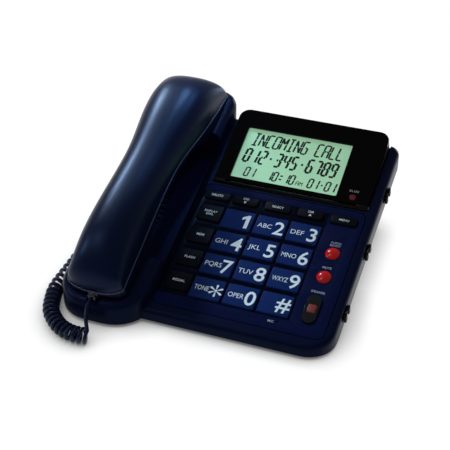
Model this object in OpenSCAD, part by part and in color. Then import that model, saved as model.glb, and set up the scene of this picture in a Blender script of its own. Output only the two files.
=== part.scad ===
// Corded desk telephone: big-key deck, tilting display, handset in a side cradle, curly cord.
// Millimetres. +Z up, -Y towards the user, standing on z = 0.
// The deck frame has its origin on top of the middle key, y up the slope and z off the deck.

/* [Base] */
// Width of the base over cradle and deck
base_w = 197.5; // [190:0.5:215]
// Depth of the cradle column from front lobe to rear lobe
cradle_d = 211; // [206:1:225]
// Width of the cradle column
cradle_w = 65.5; // [62:0.5:65.5]
// How far the front lobe stands above the middle key's top
lobe_rise = 10; // [8:0.5:11]
// How far the rear lobe stands above it at the rear
lobe_rear_rise = 16; // [14:0.5:16.5]
// How far the deck's front wall lies behind the front lobe
deck_front_step = 14.5; // [12:0.5:16]
// How far the deck's rear wall lies before the rear lobe
deck_rear_step = 7.5; // [6:0.5:12]
// Slope of the deck in degrees
deck_slope = 17; // [15:0.5:18]
// Height of the middle key's top above the table
pad_h = 33; // [32:0.5:38]
// Distance from the middle key to the right wall
pad_from_right = 71; // [70:0.5:74]
// Distance from the middle key to the front lobe
pad_from_front = 83; // [82:0.5:90]
// Wall of the upper housing
wall = 2.5; // [2:0.1:2.8]
// Front corner radius of the deck in plan
deck_corner = 20; // [16:0.5:20]
// Rear corner radius of the deck in plan
deck_rear_corner = 8; // [7:0.5:12]
// Corner radius of the front lobe in plan
lobe_corner = 26; // [20:0.5:29]
// Corner radius of the rear lobe in plan
lobe_rear_corner = 15; // [13:0.5:18]
// Rounding of the deck's top edge
deck_edge = 4.5; // [3.5:0.1:6]
// Rounding of the lobes' top edge
lobe_edge = 7; // [4:0.5:8]
// Depth of the upper housing's skirt
skirt_h = 15; // [13.5:0.5:17]
// Height of the skirt above the table at the front
skirt_clear = 3; // [2.6:0.1:3.4]
// Lap of the lower housing inside the skirt
skirt_lap = 3; // [2:0.1:4]
// How far the lower housing draws in at the sides and rear
tub_taper = 10; // [6:0.5:12]
// Wall of the lower housing
tub_wall = 2.2; // [1.8:0.1:2.6]
// Floor of the lower housing
floor_t = 2.5; // [2.2:0.1:2.8]
// Height of the rubber feet
foot_h = 2; // [1.8:0.1:2.4]
// Radius of a rubber foot
foot_r = 6; // [4:0.5:7]

/* [Keypad] */
// Dial key pitch across
key_pitch_x = 25; // [24.8:0.1:25.2]
// Dial key pitch up the slope
key_pitch_y = 21.6; // [21.2:0.1:22]
// Dial key width
key_w = 23.2; // [21:0.1:23.3]
// Dial key depth
key_d = 18.1; // [16:0.1:18.5]
// How far the keys stand above the faceplate
key_rise = 1.2; // [1:0.1:1.8]
// Key travel
key_travel = 1.2; // [0.8:0.1:1.3]
// Function key width
fkey_w = 18; // [15:0.1:18.1]
// Function key depth
fkey_d = 15; // [12:0.1:17]
// Function column, left of the middle key
fkey_x = 46.9; // [46.6:0.1:47.1]
// Bar key width
bar_w = 20; // [16:0.1:21]
// Bar key depth
bar_d = 8; // [6:0.1:8.2]
// Bar key row above the middle key
bar_y = 40.5; // [40.3:0.1:41]
// Round button diameter
round_d = 10.5; // [8:0.1:12]
// Speaker button length
capsule_l = 24; // [20:0.5:25]
// Speaker button width
capsule_w = 10; // [8:0.1:11]
// Button column, right of the middle key
button_x = 50; // [49:0.1:51]
// Gap round each key in the faceplate
key_gap = 0.3; // [0.25:0.05:0.4]
// Flange under each key, past the front and rear of its hole
key_flange = 0.6; // [0.4:0.05:0.8]
// Flange under each key, past the sides of its hole
key_side = 0.25; // [0.15:0.05:0.3]
// Faceplate thickness
plate_t = 2.5; // [2:0.1:2.8]
// Faceplate edge left of the middle key
plate_left = 60; // [59.5:0.1:60.2]
// Faceplate edge right of the middle key
plate_right = 63.9; // [63.5:0.1:64.3]
// Faceplate edge before the middle key
plate_front = 63.4; // [63:0.1:63.8]
// Faceplate edge behind the middle key
plate_rear = 51.3; // [51:0.1:51.5]
// Groove round the faceplate
plate_groove = 0.6; // [0.3:0.1:0.8]
// Width of the ledge that carries the faceplate
ledge_w = 1.5; // [1.2:0.1:1.7]
// Key mat sheet
mat_t = 1; // [0.8:0.1:1.2]
// Circuit board thickness
board_t = 1.6; // [1.2:0.1:1.8]

/* [Display] */
// Display width
disp_w = 119; // [116:0.5:119]
// Display centre right of the middle key
disp_x = 3.5; // [3.2:0.1:3.6]
// Display length up its slope
disp_l = 71.5; // [68:0.5:74]
// Display thickness
disp_t = 14; // [13:0.5:15]
// Slope of the resting display over the deck
disp_tilt = 7; // [6:0.5:8]
// Radius of the hinge barrel at the lower edge
barrel_r = 3.5; // [3.2:0.1:3.8]
// Hinge pin radius
pin_r = 1.6; // [1.2:0.1:1.8]
// Hinge pin length inside the display
pin_in = 5; // [4:0.5:6]
// Running clearance of the hinge pins
pin_gap = 0.05; // [0.02:0.01:0.09]
// Hinge axis behind the middle key
hinge_y = 57.6; // [57.4:0.1:58]
// Hinge axis below the middle key's top
hinge_drop = 2.9; // [2.6:0.1:3.2]
// Gap between display and housing
disp_gap = 0.6; // [0.4:0.1:0.8]
// Display window thickness
window_t = 1.8; // [1.5:0.1:1.8]
// Corner radius of the display
disp_corner = 8; // [4:0.5:10]
// Visible width of the liquid crystal
lcd_w = 83; // [78:0.5:84]
// Visible height of the liquid crystal
lcd_h = 48.4; // [44:0.5:49]
// Liquid crystal centre left of the middle key
lcd_x = 3.6; // [3:0.1:4]

/* [Side slides] */
// How far the slide knobs stand out of the right wall
knob_proud = 2.4; // [2:0.1:3]
// Slide knob length
knob_l = 11; // [9:0.5:13]
// Slide knob height
knob_h = 6.5; // [5.5:0.1:7]
// Slide travel each way
knob_travel = 4; // [3:0.5:5]
// Slide knob height below the middle key's top
knob_drop = 8; // [7.9:0.1:8.4]

/* [Handset] */
// Handset length
hs_l = 211; // [208:1:212]
// Handset axis left of the cradle column's middle
hs_off = 0.75; // [0.4:0.05:1]
// Ear end of the handset short of the cradle column's rear, along the deck
hs_shift = 1.3505; // [0.5:0.0005:2]
// Half width of the ear end
hs_ear = 26; // [24:0.1:26.5]
// Half width of the grip
hs_grip = 19.5; // [17:0.1:22]
// Half width of the mouth end
hs_mouth = 21; // [20:0.1:23]
// Seam height above the middle key's top at the ends
hs_seam = 17; // [16.5:0.1:18]
// Rise of the seam at the grip
hs_arch = 10; // [8:0.5:12]
// Dome of the back shell at the ends
hs_dome = 25; // [22:0.5:27]
// Dome of the back shell at the grip
hs_grip_dome = 20; // [17:0.5:22]
// Depth of the front shell below the seam at the grip
hs_grip_depth = 6.5; // [5.5:0.1:8]
// Height of the cap faces above the middle key's top
cap_z = 3; // [2.8:0.1:3.4]
// Wall of the handset shells
hs_wall = 2; // [1.6:0.1:2.2]
// Ledge of the front shell past the back shell at the seam
hs_lip = 0.7; // [0.3:0.1:1]
// Gap between handset and cradle
cradle_gap = 0.5; // [0.35:0.05:0.7]
// Receiver diameter
receiver_d = 30; // [28:0.5:30.5]
// Receiver and microphone place from each end
capsule_in = 27; // [25:0.5:29]
// Hook switch travel
hook_travel = 4; // [3:0.5:4.5]

/* [Cord] */
// Diameter of the cord itself
cord_d = 2.8; // [2.5:0.1:2.9]
// Mean radius of a curl
curl_r = 4.7; // [4.4:0.05:4.9]
// Number of curls
curls = 43; // [36:1:44]
// How much closer the curls lie at the ends than in the middle
curl_bunch = 0.25; // [0:0.05:0.25]

/* [Hidden] */

DIAL_KEYS = ["key_1", "key_2", "key_3", "key_4", "key_5", "key_6", "key_7", "key_8", "key_9",
  "key_star", "key_0", "key_hash"];
FUNCTION_KEYS = ["key_display_dial", "key_memory", "key_flash", "key_redial"];
BAR_KEYS = ["key_delete", "key_scroll_down", "key_select", "key_scroll_up", "key_menu"];
SLIDES = ["ringer_slide", "speaker_slide", "handset_slide"];

navy = [0.05, 0.07, 0.2];
key_navy = [0.08, 0.11, 0.27];
near_black = [0.03, 0.03, 0.05];

$fn = 48;
eps = 0.01;
far = 400;
// Overcut past a face, and thickness of the discs that the hulls span
cut = 1;
slab = 1;

// Plan limits of the base and the place of the deck frame
x_left = -(base_w + knob_proud)/2;
x_right = x_left + base_w;
y_front = -cradle_d/2;
y_rear = cradle_d/2;
pad_x = x_right - pad_from_right;
pad_y = y_front + pad_from_front;
deck_y0 = y_front + deck_front_step;
deck_y1 = y_rear - deck_rear_step;
lobe_x1 = x_left + cradle_w;
column_x = x_left + cradle_w/2 - hs_off;
hs_x = pad_x - column_x;
hs_y = (y_rear - pad_y)/cos(deck_slope) - hs_l/2 - hs_shift;

// Heights in the deck frame, from the key tops down
face_z = -key_rise;
plate_z = face_z - plate_t;
flange_t = 1;
key_foot = plate_z - key_gap - flange_t;
dome_gap = 0.3;
dome_spare = 0.5;
dome_h = key_travel + dome_spare;
mat_z = key_foot - dome_gap - dome_h - mat_t;
skirt_z = face_z - skirt_h;
lap_z = skirt_z + skirt_lap;
fit_gap = 0.4;

// Corner radii in plan of the faceplate, its opening, the keys, the mat and the board
plate_corner = 6;
opening_corner = 4;
key_corner = 1.5;
fkey_corner = 2;
bar_corner = 3;
mat_corner = 3.5;
board_corner = 3;

// Key places in the deck frame
bar_xs = [-47.6, -25.4, -0.3, 24.7, 49.8];
boost_y = 9.6;
mute_y = -11.8;
capsule_y = -40.5;
mic_at = [30.7, -56.6];
mic_hole_r = 0.8;
fkey_shift = 1.6;
slide_ys = [78, 22.5, -33];

// Display frame: origin on the hinge axis, y up the display, z off its face
disp_face = barrel_r;
disp_back = barrel_r - disp_t;
disp_end = disp_l - barrel_r;
disp_wall = 2;
lcd_y = barrel_r;
lcd_border = 1.6;
lcd_t = 2.8;
backlight_t = 4;
lcd_air = 0.3;
lcd_gap = 0.5;
lamp_r = 2.5;
lamp_room = 14;
lamp_gap = 0.1;
lamp_proud = 0.4;
lamp_at = [50, 5.1];

function deck_z(y, t) = pad_h + (y - pad_y)*tan(deck_slope) + t/cos(deck_slope);

module on_deck() {
  translate([pad_x, pad_y, pad_h]) rotate([deck_slope, 0, 0]) children();
}

module on_display() {
  on_deck() translate([0, hinge_y, -hinge_drop]) rotate([disp_tilt, 0, 0]) children();
}

module on_handset() {
  on_deck() translate([-hs_x, hs_y, 0]) children();
}

// Rounded rectangle about the origin, from squares and true circles
module rounded(w, d, r) {
  square([w - 2*r, d], center = true);
  square([w, d - 2*r], center = true);
  for (sx = [-1, 1], sy = [-1, 1])
    translate([sx*(w/2 - r), sy*(d/2 - r)]) circle(r);
}

// Disc with a round rim, used at the corners of the housing's hulls
module soft_disc(r, edge) {
  rotate_extrude($fn = 32) intersection() {
    translate([r - edge, 0]) circle(edge, $fn = 16);
    translate([0, -edge]) square([r, 2*edge]);
  }
}

// Wedge with upright walls, a sloped top and rounded top edges, drawn in by inset all round.
// Its tops and corner radii are given for the front and the rear.
module wedge(x0, x1, y0, y1, tops, corners, edge, inset) {
  soft = max(edge - inset, slab);
  hull() for (sx = [0, 1], sy = [0, 1]) {
    r = corners[sy] - inset;
    x = sx == 0 ? x0 + corners[sy] : x1 - corners[sy];
    y = sy == 0 ? y0 + corners[sy] : y1 - corners[sy];
    reach = (r - soft)*(1 - cos(deck_slope));
    y_top = sy == 0 ? y - reach : y + reach;
    translate([x, y_top, deck_z(y_top, tops[sy] - inset - soft)]) rotate([deck_slope, 0, 0])
      soft_disc(r, soft);
    translate([x, y, skirt_clear - inset]) cylinder(r = r, h = slab, $fn = 32);
  }
}

module deck_wedge(inset) {
  wedge(x_left + cradle_w/4, x_right, deck_y0, deck_y1, [face_z, face_z],
    [deck_corner, deck_rear_corner], deck_edge, inset);
}

module cradle_wedge(inset) {
  wedge(x_left, lobe_x1, y_front, y_rear, [lobe_rise, lobe_rear_rise],
    [lobe_corner, lobe_rear_corner], lobe_edge, inset);
}

// Half space above or below a plane parallel to the deck
module above_deck(t) {
  on_deck() translate([-far/2, -far/2, t]) cube([far, far, far]);
}

module below_deck(t) {
  on_deck() translate([-far/2, -far/2, t - far]) cube([far, far, far]);
}

// Room of the display in the deck, open above and to the rear, grown by a wall
module display_bay(grow) {
  w = disp_w + 2*disp_gap + 2*grow;
  front = barrel_r + disp_gap + grow;
  depth = -disp_back + disp_gap + grow;
  on_display() translate([disp_x - w/2, -front, -depth]) cube([w, far/2, depth + far/4]);
}

// Room of the faceplate and the key opening below it
module plate_room(grow, depth) {
  w = plate_left + plate_right + 2*grow;
  d = plate_front + plate_rear + 2*grow;
  on_deck() translate([(plate_right - plate_left)/2, (plate_rear - plate_front)/2, face_z - depth])
    linear_extrude(depth + far/4) rounded(w, d, plate_corner + grow);
}

ledge_out = 2;

// Runs along the handset: swelling to the ends, rounding of the ends, caps and the slopes before them
swell_end = 33;
hs_swell = hs_l/2 - swell_end;
end_run = 8;
dome_run = 38;
nose_run = 16;
cap_l = 47;
cap_slope = 22;
cap_to = hs_l/2 - cap_l;
cap_from = cap_to - cap_slope;

// Trough between the two lobes, where fingers reach under the grip
trough_lead = 1;
trough_y0 = hs_y - cap_to - trough_lead;
trough_y1 = hs_y + cap_to - trough_lead;
trough_run = 9;
trough_top = 40;
module trough(grow) {
  on_deck() translate([x_left - pad_x - cut, 0, 0]) rotate([90, 0, 90]) linear_extrude(cradle_w + cut)
    polygon([[trough_y0 - grow, face_z - grow], [trough_y1 + grow, face_z - grow],
      [trough_y1 + trough_run + grow, trough_top], [trough_y0 - trough_run - grow, trough_top]]);
}

// Handset outline: half width, seam, dome and lower face along its length u
function smooth(x) = x <= 0 ? 0 : x >= 1 ? 1 : (1 - cos(180*x))/2;
function ending(u, run) = abs(u) <= hs_l/2 - run ? 1
  : sqrt(max(0, 1 - pow((abs(u) - hs_l/2 + run)/run, 2)));
function hs_end(u) = u > 0 ? hs_ear : hs_mouth;
function hs_half(u) = (hs_grip + (hs_end(u) - hs_grip)*smooth(abs(u)/hs_swell))*ending(u, end_run);
function hs_seam_z(u) = hs_seam + hs_arch*(1 - pow(2*u/hs_l, 2));
function hs_dome_h(u) = (hs_grip_dome + (hs_dome - hs_grip_dome)*smooth(abs(u)/hs_swell))*ending(u, dome_run);
function hs_low(u) = let (
    s = hs_seam_z(u),
    k = smooth((abs(u) - cap_from)/(cap_to - cap_from)),
    low = (1 - k)*(s - hs_grip_depth) + k*cap_z)
  s - (s - low)*ending(u, nose_run);

// Stations along the handset, closer together at the ends
stations = 26;
tip = 0.3;
function station(i, from, to) = let (
    mid = (from + to)/2,
    reach = (to - from)/2)
  mid - reach*cos(180*i/stations);

// Half rings of the shells, from one side over to the other, as superellipses
ring_steps = 14;
function power(v, p) = sign(v)*pow(abs(v), p);
function half_ring(u, half, base, rise, square_n) = [for (j = [0:ring_steps])
  let (a = 180*j/ring_steps)
  [half*power(cos(a), 2/square_n), u, base + rise*power(sin(a), 2/square_n)]];

// Closed solid through rings of equal length
module loft(rings) {
  n = len(rings[0]);
  m = len(rings);
  sides = [for (i = [0:m - 2], j = [0:n - 1], k = [0, 1]) let (
      a = i*n + j,
      b = i*n + (j + 1) % n,
      c = (i + 1)*n + (j + 1) % n,
      d = (i + 1)*n + j)
    k == 0 ? [a, b, c] : [a, c, d]];
  lower = [[for (j = [n - 1:-1:0]) j]];
  upper = [[for (j = [0:n - 1]) (m - 1)*n + j]];
  polyhedron(points = [for (r = rings, p = r) p], faces = concat(sides, lower, upper), convexity = 6);
}

back_n = 2.4;
front_n = 6;

// Back shell's solid, drawn in by inset and lowered at its seam for a clean cut
module back_solid(inset, sink) {
  ends = hs_l/2 - tip - inset;
  loft([for (i = [0:stations]) let (u = station(i, -ends, ends))
    concat(half_ring(u, max(hs_half(u) - inset, 1), hs_seam_z(u), max(hs_dome_h(u) - inset, 1), back_n),
      sink > 0 ? [[-max(hs_half(u) - inset, 1), u, hs_seam_z(u) - sink],
        [max(hs_half(u) - inset, 1), u, hs_seam_z(u) - sink]] : [])]);
}

// Front shell's solid between two stations, grown outwards, with its top raised for a clean cut
module front_solid(from, to, grow, lift) {
  loft([for (i = [0:stations]) let (
      u = station(i, from, to),
      half = max(hs_half(u) + hs_lip + grow, 1),
      seam = hs_seam_z(u),
      deep = max(seam - hs_low(u) + grow, 1))
    concat(half_ring(u, -half, seam, -deep, front_n),
      lift > 0 ? [[half, u, seam + lift], [-half, u, seam + lift]] : [])]);
}

// Pocket that the caps drop into
module cradle_pocket(grow) {
  ends = hs_l/2 - tip;
  stretch = (ends + grow)/ends;
  on_handset() scale_along(stretch) front_solid(-ends, ends, grow, far/10);
}

module scale_along(k) {
  multmatrix([[1, 0, 0, 0], [0, k, 0, 0], [0, 0, 1, 0], [0, 0, 0, 1]]) children();
}

// Base fasteners, in plan from the edges of the base
screw_r = 1.5;
screw_head_r = 3;
screw_head_h = 2.2;
screw_l = 10;
screw_bite = 0.05;
screw_slip = 0.2;
boss_r = 4.2;
boss_top = foot_h + 5.2;
boss_gap = 0.2;
well_wall = 0.6;
screw_spare = 0.6;
screw_front = 37;
screw_rear = 26;
screw_deck = 22.5;
screw_left = 34;
screw_right = 25;
screw_at = [[column_x, y_front + screw_front], [column_x, y_rear - screw_rear],
  [pad_x - screw_left, deck_y1 - screw_deck], [x_right - screw_right, deck_y1 - screw_deck]];

module at_screws() {
  for (p = screw_at) translate([p[0], p[1], 0]) children();
}

// Hook switch in the ear pocket
hook_from_end = 39;
hook_u = hs_l/2 - hook_from_end;
hook_r = 3;
hook_flange_r = 4.2;
hook_gap = 0.3;
pocket_floor = cap_z - cradle_gap;
module at_hook() {
  on_handset() translate([0, hook_u, 0]) children();
}

// Modular line jack in the rear wall of the cradle column
jack_w = 12;
jack_h = 10;
jack_d = 14;
jack_open_w = 9.8;
jack_open_h = 6.8;
line_jack_x = column_x;
jack_sill = 1.2;
jack_set_back = 0.03;
line_jack_z = deck_z(y_rear, skirt_z) + jack_h/2 + jack_sill;

// Modular jack of the curly cord, in the left wall of the lower housing
cord_jack_y = 68;
cord_jack_z = 11;
plug_w = 7.6;
plug_h = 6.4;
plug_l = 11;
plug_gap = 0.2;
plug_proud = 2.5;
jack_skin = 1.6;
jack_out = 2.6;
jack_fit = 0.05;
jack_face = x_left + wall + fit_gap + tub_taper - jack_out;

// Slide controls behind the right wall
slide_stem_l = 6;
slide_stem_h = 2.4;
slide_gap = 0.4;
slide_body_t = 2.2;
slide_skin = 0.6;
slide_end = 2;
slide_back = 0.5;
stem_short = 0.8;
knob_gap = 0.15;

module at_slide(i) {
  on_deck() translate([pad_from_right, slide_ys[i], -knob_drop]) children();
}

// Battery bay in the lower housing, four cells side by side
cell_d = 14.4;
cell_l = 49;
cell_count = 4;
bay_gap = 0.4;
contact_t = 0.6;
contact_w = 11.4;
cell_tip = 1.4;
cell_tip_d = 5.5;
bay_l = cell_l + 2*contact_t + 2*bay_gap + cell_tip;
bay_w = cell_count*cell_d + (cell_count + 1)*bay_gap;
bay_x = 8;
bay_y = 36;
bay_wall = 3.4;
door_t = 2;
door_lift = 0.2;
door_tongue = 1.4;
door_short = 1.5;
bay_z = foot_h + floor_t;
bay_h = cell_d + bay_gap;

module at_bay() {
  translate([pad_x + bay_x, pad_y + bay_y, 0]) children();
}

module base_top_housing() {
  color(navy) difference() {
    union() {
      deck_wedge(0);
      cradle_wedge(0);
    }
    difference() {
      union() {
        deck_wedge(wall);
        cradle_wedge(wall);
      }
      housing_liners();
    }
    housing_cuts();
  }
}

// What stands inside the upper housing: walls of the bays, ledges and screw posts
module housing_liners() {
  display_bay(wall);
  difference() {
    plate_room(ledge_out, face_z - mat_z);
    speaker_room();
  }
  trough(wall);
  intersection() {
    cradle_pocket(cradle_gap + wall);
    cradle_wedge(wall/2);
  }
  at_screws() translate([0, 0, boss_top]) cylinder(r = boss_r, h = far/4);
}

module housing_cuts() {
  below_deck(skirt_z);
  translate([-far/2, -far/2, skirt_clear - far]) cube([far, far, far]);
  display_bay(0);
  plate_room(plate_groove, plate_t);
  key_opening();
  trough(0);
  cradle_pocket(cradle_gap);
  plug_notch();
  speaker_grille();
  at_screws() cylinder(r = screw_r + screw_bite, h = foot_h + screw_head_h + screw_l + screw_spare);
  at_hook() translate([0, 0, -far/20]) cylinder(r = hook_r + hook_gap, h = far/10);
  on_display() pin_bores(pin_r);
  for (i = [0:2]) at_slide(i) translate([-wall - slide_gap, 0, 0]) slide_slot(wall + slide_gap + cut);
  translate([line_jack_x, y_rear - wall - cut, line_jack_z])
    rotate([-90, 0, 0]) linear_extrude(wall + 2*cut) square([jack_open_w, jack_open_h], center = true);
}

module key_opening() {
  w = plate_left + plate_right - 2*ledge_w;
  d = plate_front + plate_rear - 2*ledge_w;
  on_deck() translate([(plate_right - plate_left)/2, (plate_rear - plate_front)/2, mat_z - far/8])
    linear_extrude(far/4) rounded(w, d, opening_corner);
}

// Notch in the front lobe under the handset's plug
notch_gap = 1;
module plug_notch() {
  on_handset() translate([-plug_w/2 - notch_gap, -hs_l/2 - 2*plug_l, plug_z - plug_h/2 - notch_gap])
    cube([plug_w + 2*notch_gap, 3*plug_l, far/10]);
}

module slide_slot(depth) {
  rotate([90, 0, 90]) linear_extrude(depth)
    square([slide_stem_l + 2*knob_travel + 2*slide_gap, slide_stem_h + 2*slide_gap], center = true);
}

grille_slots = 7;
grille_pitch = 5;
grille_l = 26;
grille_w = 2;
speaker_before = 8;
speaker_y = hs_y - speaker_before;
speaker_gap = 0.5;

// Room for the loudspeaker, kept free by the ledge, the mat and the board
module speaker_room() {
  on_deck() translate([-hs_x, speaker_y, face_z - wall - speaker_h - speaker_gap])
    cylinder(r = speaker_r + speaker_gap, h = speaker_h + speaker_gap);
}

module speaker_grille() {
  on_deck() translate([-hs_x, speaker_y, face_z - wall - cut])
    for (i = [0:grille_slots - 1]) translate([0, (i - (grille_slots - 1)/2)*grille_pitch, 0])
      linear_extrude(wall + 2*cut) rounded(grille_l, grille_w, grille_w/2 - 5*eps);
}

// Lower housing: drawn-in tub with its floor, screw wells, battery bay and cord jack window
module tub_part(x0, x1, y0, y1, corners, right_taper, inset) {
  hull() for (sx = [0, 1], sy = [0, 1]) {
    r = corners[sy] - inset;
    x_up = sx == 0 ? x0 + corners[sy] : x1 - corners[sy];
    y_up = sy == 0 ? y0 + corners[sy] : y1 - corners[sy];
    x_low = sx == 0 ? x_up + tub_taper : x_up - right_taper;
    y_low = sy == 0 ? y_up : y_up - tub_taper;
    translate([x_up, y_up, max(deck_z(y_up, lap_z) + r*tan(deck_slope), foot_h + floor_t + slab)])
      cylinder(r = r, h = slab, $fn = 32);
    translate([x_low, y_low, foot_h + (inset > 0 ? floor_t : 0)]) cylinder(r = r, h = slab, $fn = 32);
  }
}

tub_in = wall + fit_gap;
module tub(inset) {
  tub_part(x_left + cradle_w/3, x_right - tub_in, deck_y0 + tub_in, deck_y1 - tub_in,
    [deck_corner - tub_in, deck_rear_corner - tub_in], tub_taper, inset);
  tub_part(x_left + tub_in, lobe_x1 - tub_in, y_front + tub_in, y_rear - tub_in,
    [lobe_corner - tub_in, lobe_rear_corner - tub_in], 0, inset);
}

module base_bottom_housing() {
  color(navy) difference() {
    union() {
      difference() {
        tub(0);
        tub(tub_wall);
        difference() {
          above_deck(lap_z);
          translate([-far/2, -far/2, 0]) cube([far, far, foot_h + floor_t]);
        }
      }
      at_screws() translate([0, 0, foot_h])
        cylinder(r = boss_r + well_wall, h = boss_top - foot_h - boss_gap);
      at_bay() translate([-bay_l/2 - bay_wall, -bay_wall, foot_h])
        cube([bay_l + 2*bay_wall, bay_w + 2*bay_wall, floor_t + bay_h + bay_wall]);
      cord_jack_frame();
    }
    at_screws() cylinder(r = screw_r + screw_slip, h = far/10);
    at_screws() cylinder(r = screw_head_r + screw_slip, h = foot_h + screw_slip + screw_head_h);
    at_bay() battery_room();
    cord_jack_room();
    at_line_jack() jack_block(fit_gap);
    display_bay(wall + fit_gap);
  }
}

// Cells' room and the way of the sliding door, open to the rear
module battery_room() {
  translate([-bay_l/2, 0, 0]) cube([bay_l, bay_w, foot_h + floor_t + bay_h]);
  translate([-bay_l/2, -door_tongue, 0]) cube([bay_l, far/4, foot_h + floor_t]);
  translate([-bay_l/2 - door_tongue - bay_gap, -door_tongue, foot_h + door_t/2])
    cube([bay_l + 2*door_tongue + 2*bay_gap, far/4, floor_t - door_t/2]);
}

frame_w = 1;
frame_t = 3;
module cord_jack_frame() {
  w = plug_w + 2*jack_skin + 2*frame_w;
  h = plug_h + 2*jack_skin + 2*frame_w;
  translate([jack_face, cord_jack_y - w/2, cord_jack_z - h/2]) cube([frame_t, w, h]);
}

module cord_jack_room() {
  translate([jack_face - 2*plug_l, cord_jack_y - plug_w/2 - jack_skin, cord_jack_z - plug_h/2 - jack_skin])
    cube([4*plug_l, plug_w + 2*jack_skin, plug_h + 2*jack_skin]);
}

// Feet, in plan from the edges of the base
foot_front = 19;
foot_rear = 44;
foot_deck_front = 22.5;
foot_deck_rear = 39;
foot_right = 23;
foot_chamfer = 0.6;
foot_at = [[column_x, y_front + foot_front], [x_right - foot_right, deck_y0 + foot_deck_front],
  [column_x, y_rear - foot_rear], [x_right - foot_right, deck_y1 - foot_deck_rear]];
module rubber_feet() {
  color("dimgray") for (p = foot_at) translate([p[0], p[1], 0]) rotate_extrude()
    polygon([[0, 0], [foot_r - foot_chamfer, 0], [foot_r, foot_chamfer], [foot_r, foot_h], [0, foot_h]]);
}

module keypad_faceplate() {
  w = plate_left + plate_right;
  d = plate_front + plate_rear;
  color(navy) on_deck() difference() {
    translate([(plate_right - plate_left)/2, (plate_rear - plate_front)/2, plate_z])
      linear_extrude(plate_t) rounded(w, d, plate_corner);
    translate([0, 0, plate_z - cut]) linear_extrude(plate_t + 2*cut) {
      for (i = [0:11]) translate(dial_at(i))
        rounded(key_w + 2*key_gap, key_d + 2*key_gap, key_corner + key_gap);
      for (i = [0:3]) translate(function_at(i))
        rounded(fkey_w + 2*key_gap, fkey_d + 2*key_gap, fkey_corner + key_gap);
      for (x = bar_xs) translate([x, bar_y])
        rounded(bar_w + 2*key_gap, bar_d + 2*key_gap, bar_corner + key_gap);
      for (y = [boost_y, mute_y]) translate([button_x, y]) circle(round_d/2 + key_gap);
      translate([button_x, capsule_y])
        rounded(capsule_w + 2*key_gap, capsule_l + 2*key_gap, capsule_w/2 + key_gap - eps);
      translate(mic_at) circle(mic_hole_r);
    }
  }
}

function dial_at(i) = [(i % 3 - 1)*key_pitch_x, (1 - floor(i/3))*key_pitch_y];
function function_at(i) = [-fkey_x, (1 - i)*key_pitch_y + fkey_shift];

// Key with a flange below the faceplate and a chamfered top
crown = 0.8;
crown_in = 0.5;
module key_body(w, d, r) {
  translate([0, 0, key_foot]) linear_extrude(flange_t)
    rounded(w + 2*key_gap + 2*key_side, d + 2*key_gap + 2*key_flange, r);
  intersection() {
    translate([0, 0, key_foot]) linear_extrude(-key_foot) rounded(w, d, r);
    rotate([90, 0, 0]) linear_extrude(2*d, center = true) crowned(w);
    rotate([90, 0, 90]) linear_extrude(2*w, center = true) crowned(d);
  }
}

// Cross-section of a key of width w, drawn in at its top
module crowned(w) {
  polygon([[-w/2, key_foot], [w/2, key_foot], [w/2, -crown], [w/2 - crown_in, 0], [crown_in - w/2, 0],
    [-w/2, -crown]]);
}

module dial_key(i) {
  color(key_navy) on_deck() translate(dial_at(i)) key_body(key_w, key_d, key_corner);
}

module function_key(i) {
  color(near_black) on_deck() translate(function_at(i)) key_body(fkey_w, fkey_d, fkey_corner);
}

module bar_key(i) {
  color(near_black) on_deck() translate([bar_xs[i], bar_y]) key_body(bar_w, bar_d, bar_corner);
}

// Domed round button
dome_rise = 1.2;
module round_button(y) {
  color("crimson") on_deck() translate([button_x, y]) rotate_extrude() {
    translate([0, key_foot]) square([round_d/2 + key_gap + key_flange, flange_t]);
    translate([0, key_foot]) square([round_d/2, -key_foot - crown]);
    dome_radius = (pow(round_d/2, 2) + pow(dome_rise + crown, 2))/(2*(dome_rise + crown));
    intersection() {
      translate([0, dome_rise - dome_radius]) circle(dome_radius, $fn = 96);
      translate([0, -crown]) square([round_d/2, dome_rise + crown]);
    }
  }
}

// Speaker button with a window for its light
light_l = 7;
light_w = 6;
light_corner = 1;
light_gap = 0.05;
light_proud = 0.3;
module button_speaker() {
  color("silver") on_deck() translate([button_x, capsule_y]) difference() {
    union() {
      translate([0, 0, key_foot]) linear_extrude(flange_t)
        rounded(capsule_w + 2*key_flange + 2*key_gap, capsule_l + 2*key_flange + 2*key_gap,
          capsule_w/2 + key_flange);
      translate([0, 0, key_foot]) linear_extrude(-key_foot) rounded(capsule_w, capsule_l, capsule_w/2 - eps);
    }
    translate([0, 0, key_foot - cut]) linear_extrude(far/20) rounded(light_w, light_l, light_corner);
  }
}

module speaker_light() {
  color("orange") on_deck() translate([button_x, capsule_y, key_foot])
    linear_extrude(-key_foot + light_proud)
      rounded(light_w - 2*light_gap, light_l - 2*light_gap, light_corner - light_gap);
}

// Rubber sheet with a dome under every key
dome_r = 3.6;
dome_top_r = 2.4;
mat_gap = 0.5;
module key_mat() {
  w = plate_left + plate_right - 2*ledge_w - 2*mat_gap;
  d = plate_front + plate_rear - 2*ledge_w - 2*mat_gap;
  color("gainsboro") difference() {
    on_deck() {
      translate([(plate_right - plate_left)/2, (plate_rear - plate_front)/2, mat_z])
        linear_extrude(mat_t) rounded(w, d, mat_corner);
      for (i = [0:11]) translate(dial_at(i)) mat_dome();
      for (i = [0:3]) translate(function_at(i)) mat_dome();
      for (x = bar_xs) translate([x, bar_y]) mat_dome();
      for (y = [boost_y, mute_y, capsule_y]) translate([button_x, y]) mat_dome();
    }
    speaker_room();
  }
}

module mat_dome() {
  translate([0, 0, mat_z + mat_t - eps]) cylinder(r1 = dome_r, r2 = dome_top_r, h = dome_h + eps);
}

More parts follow.
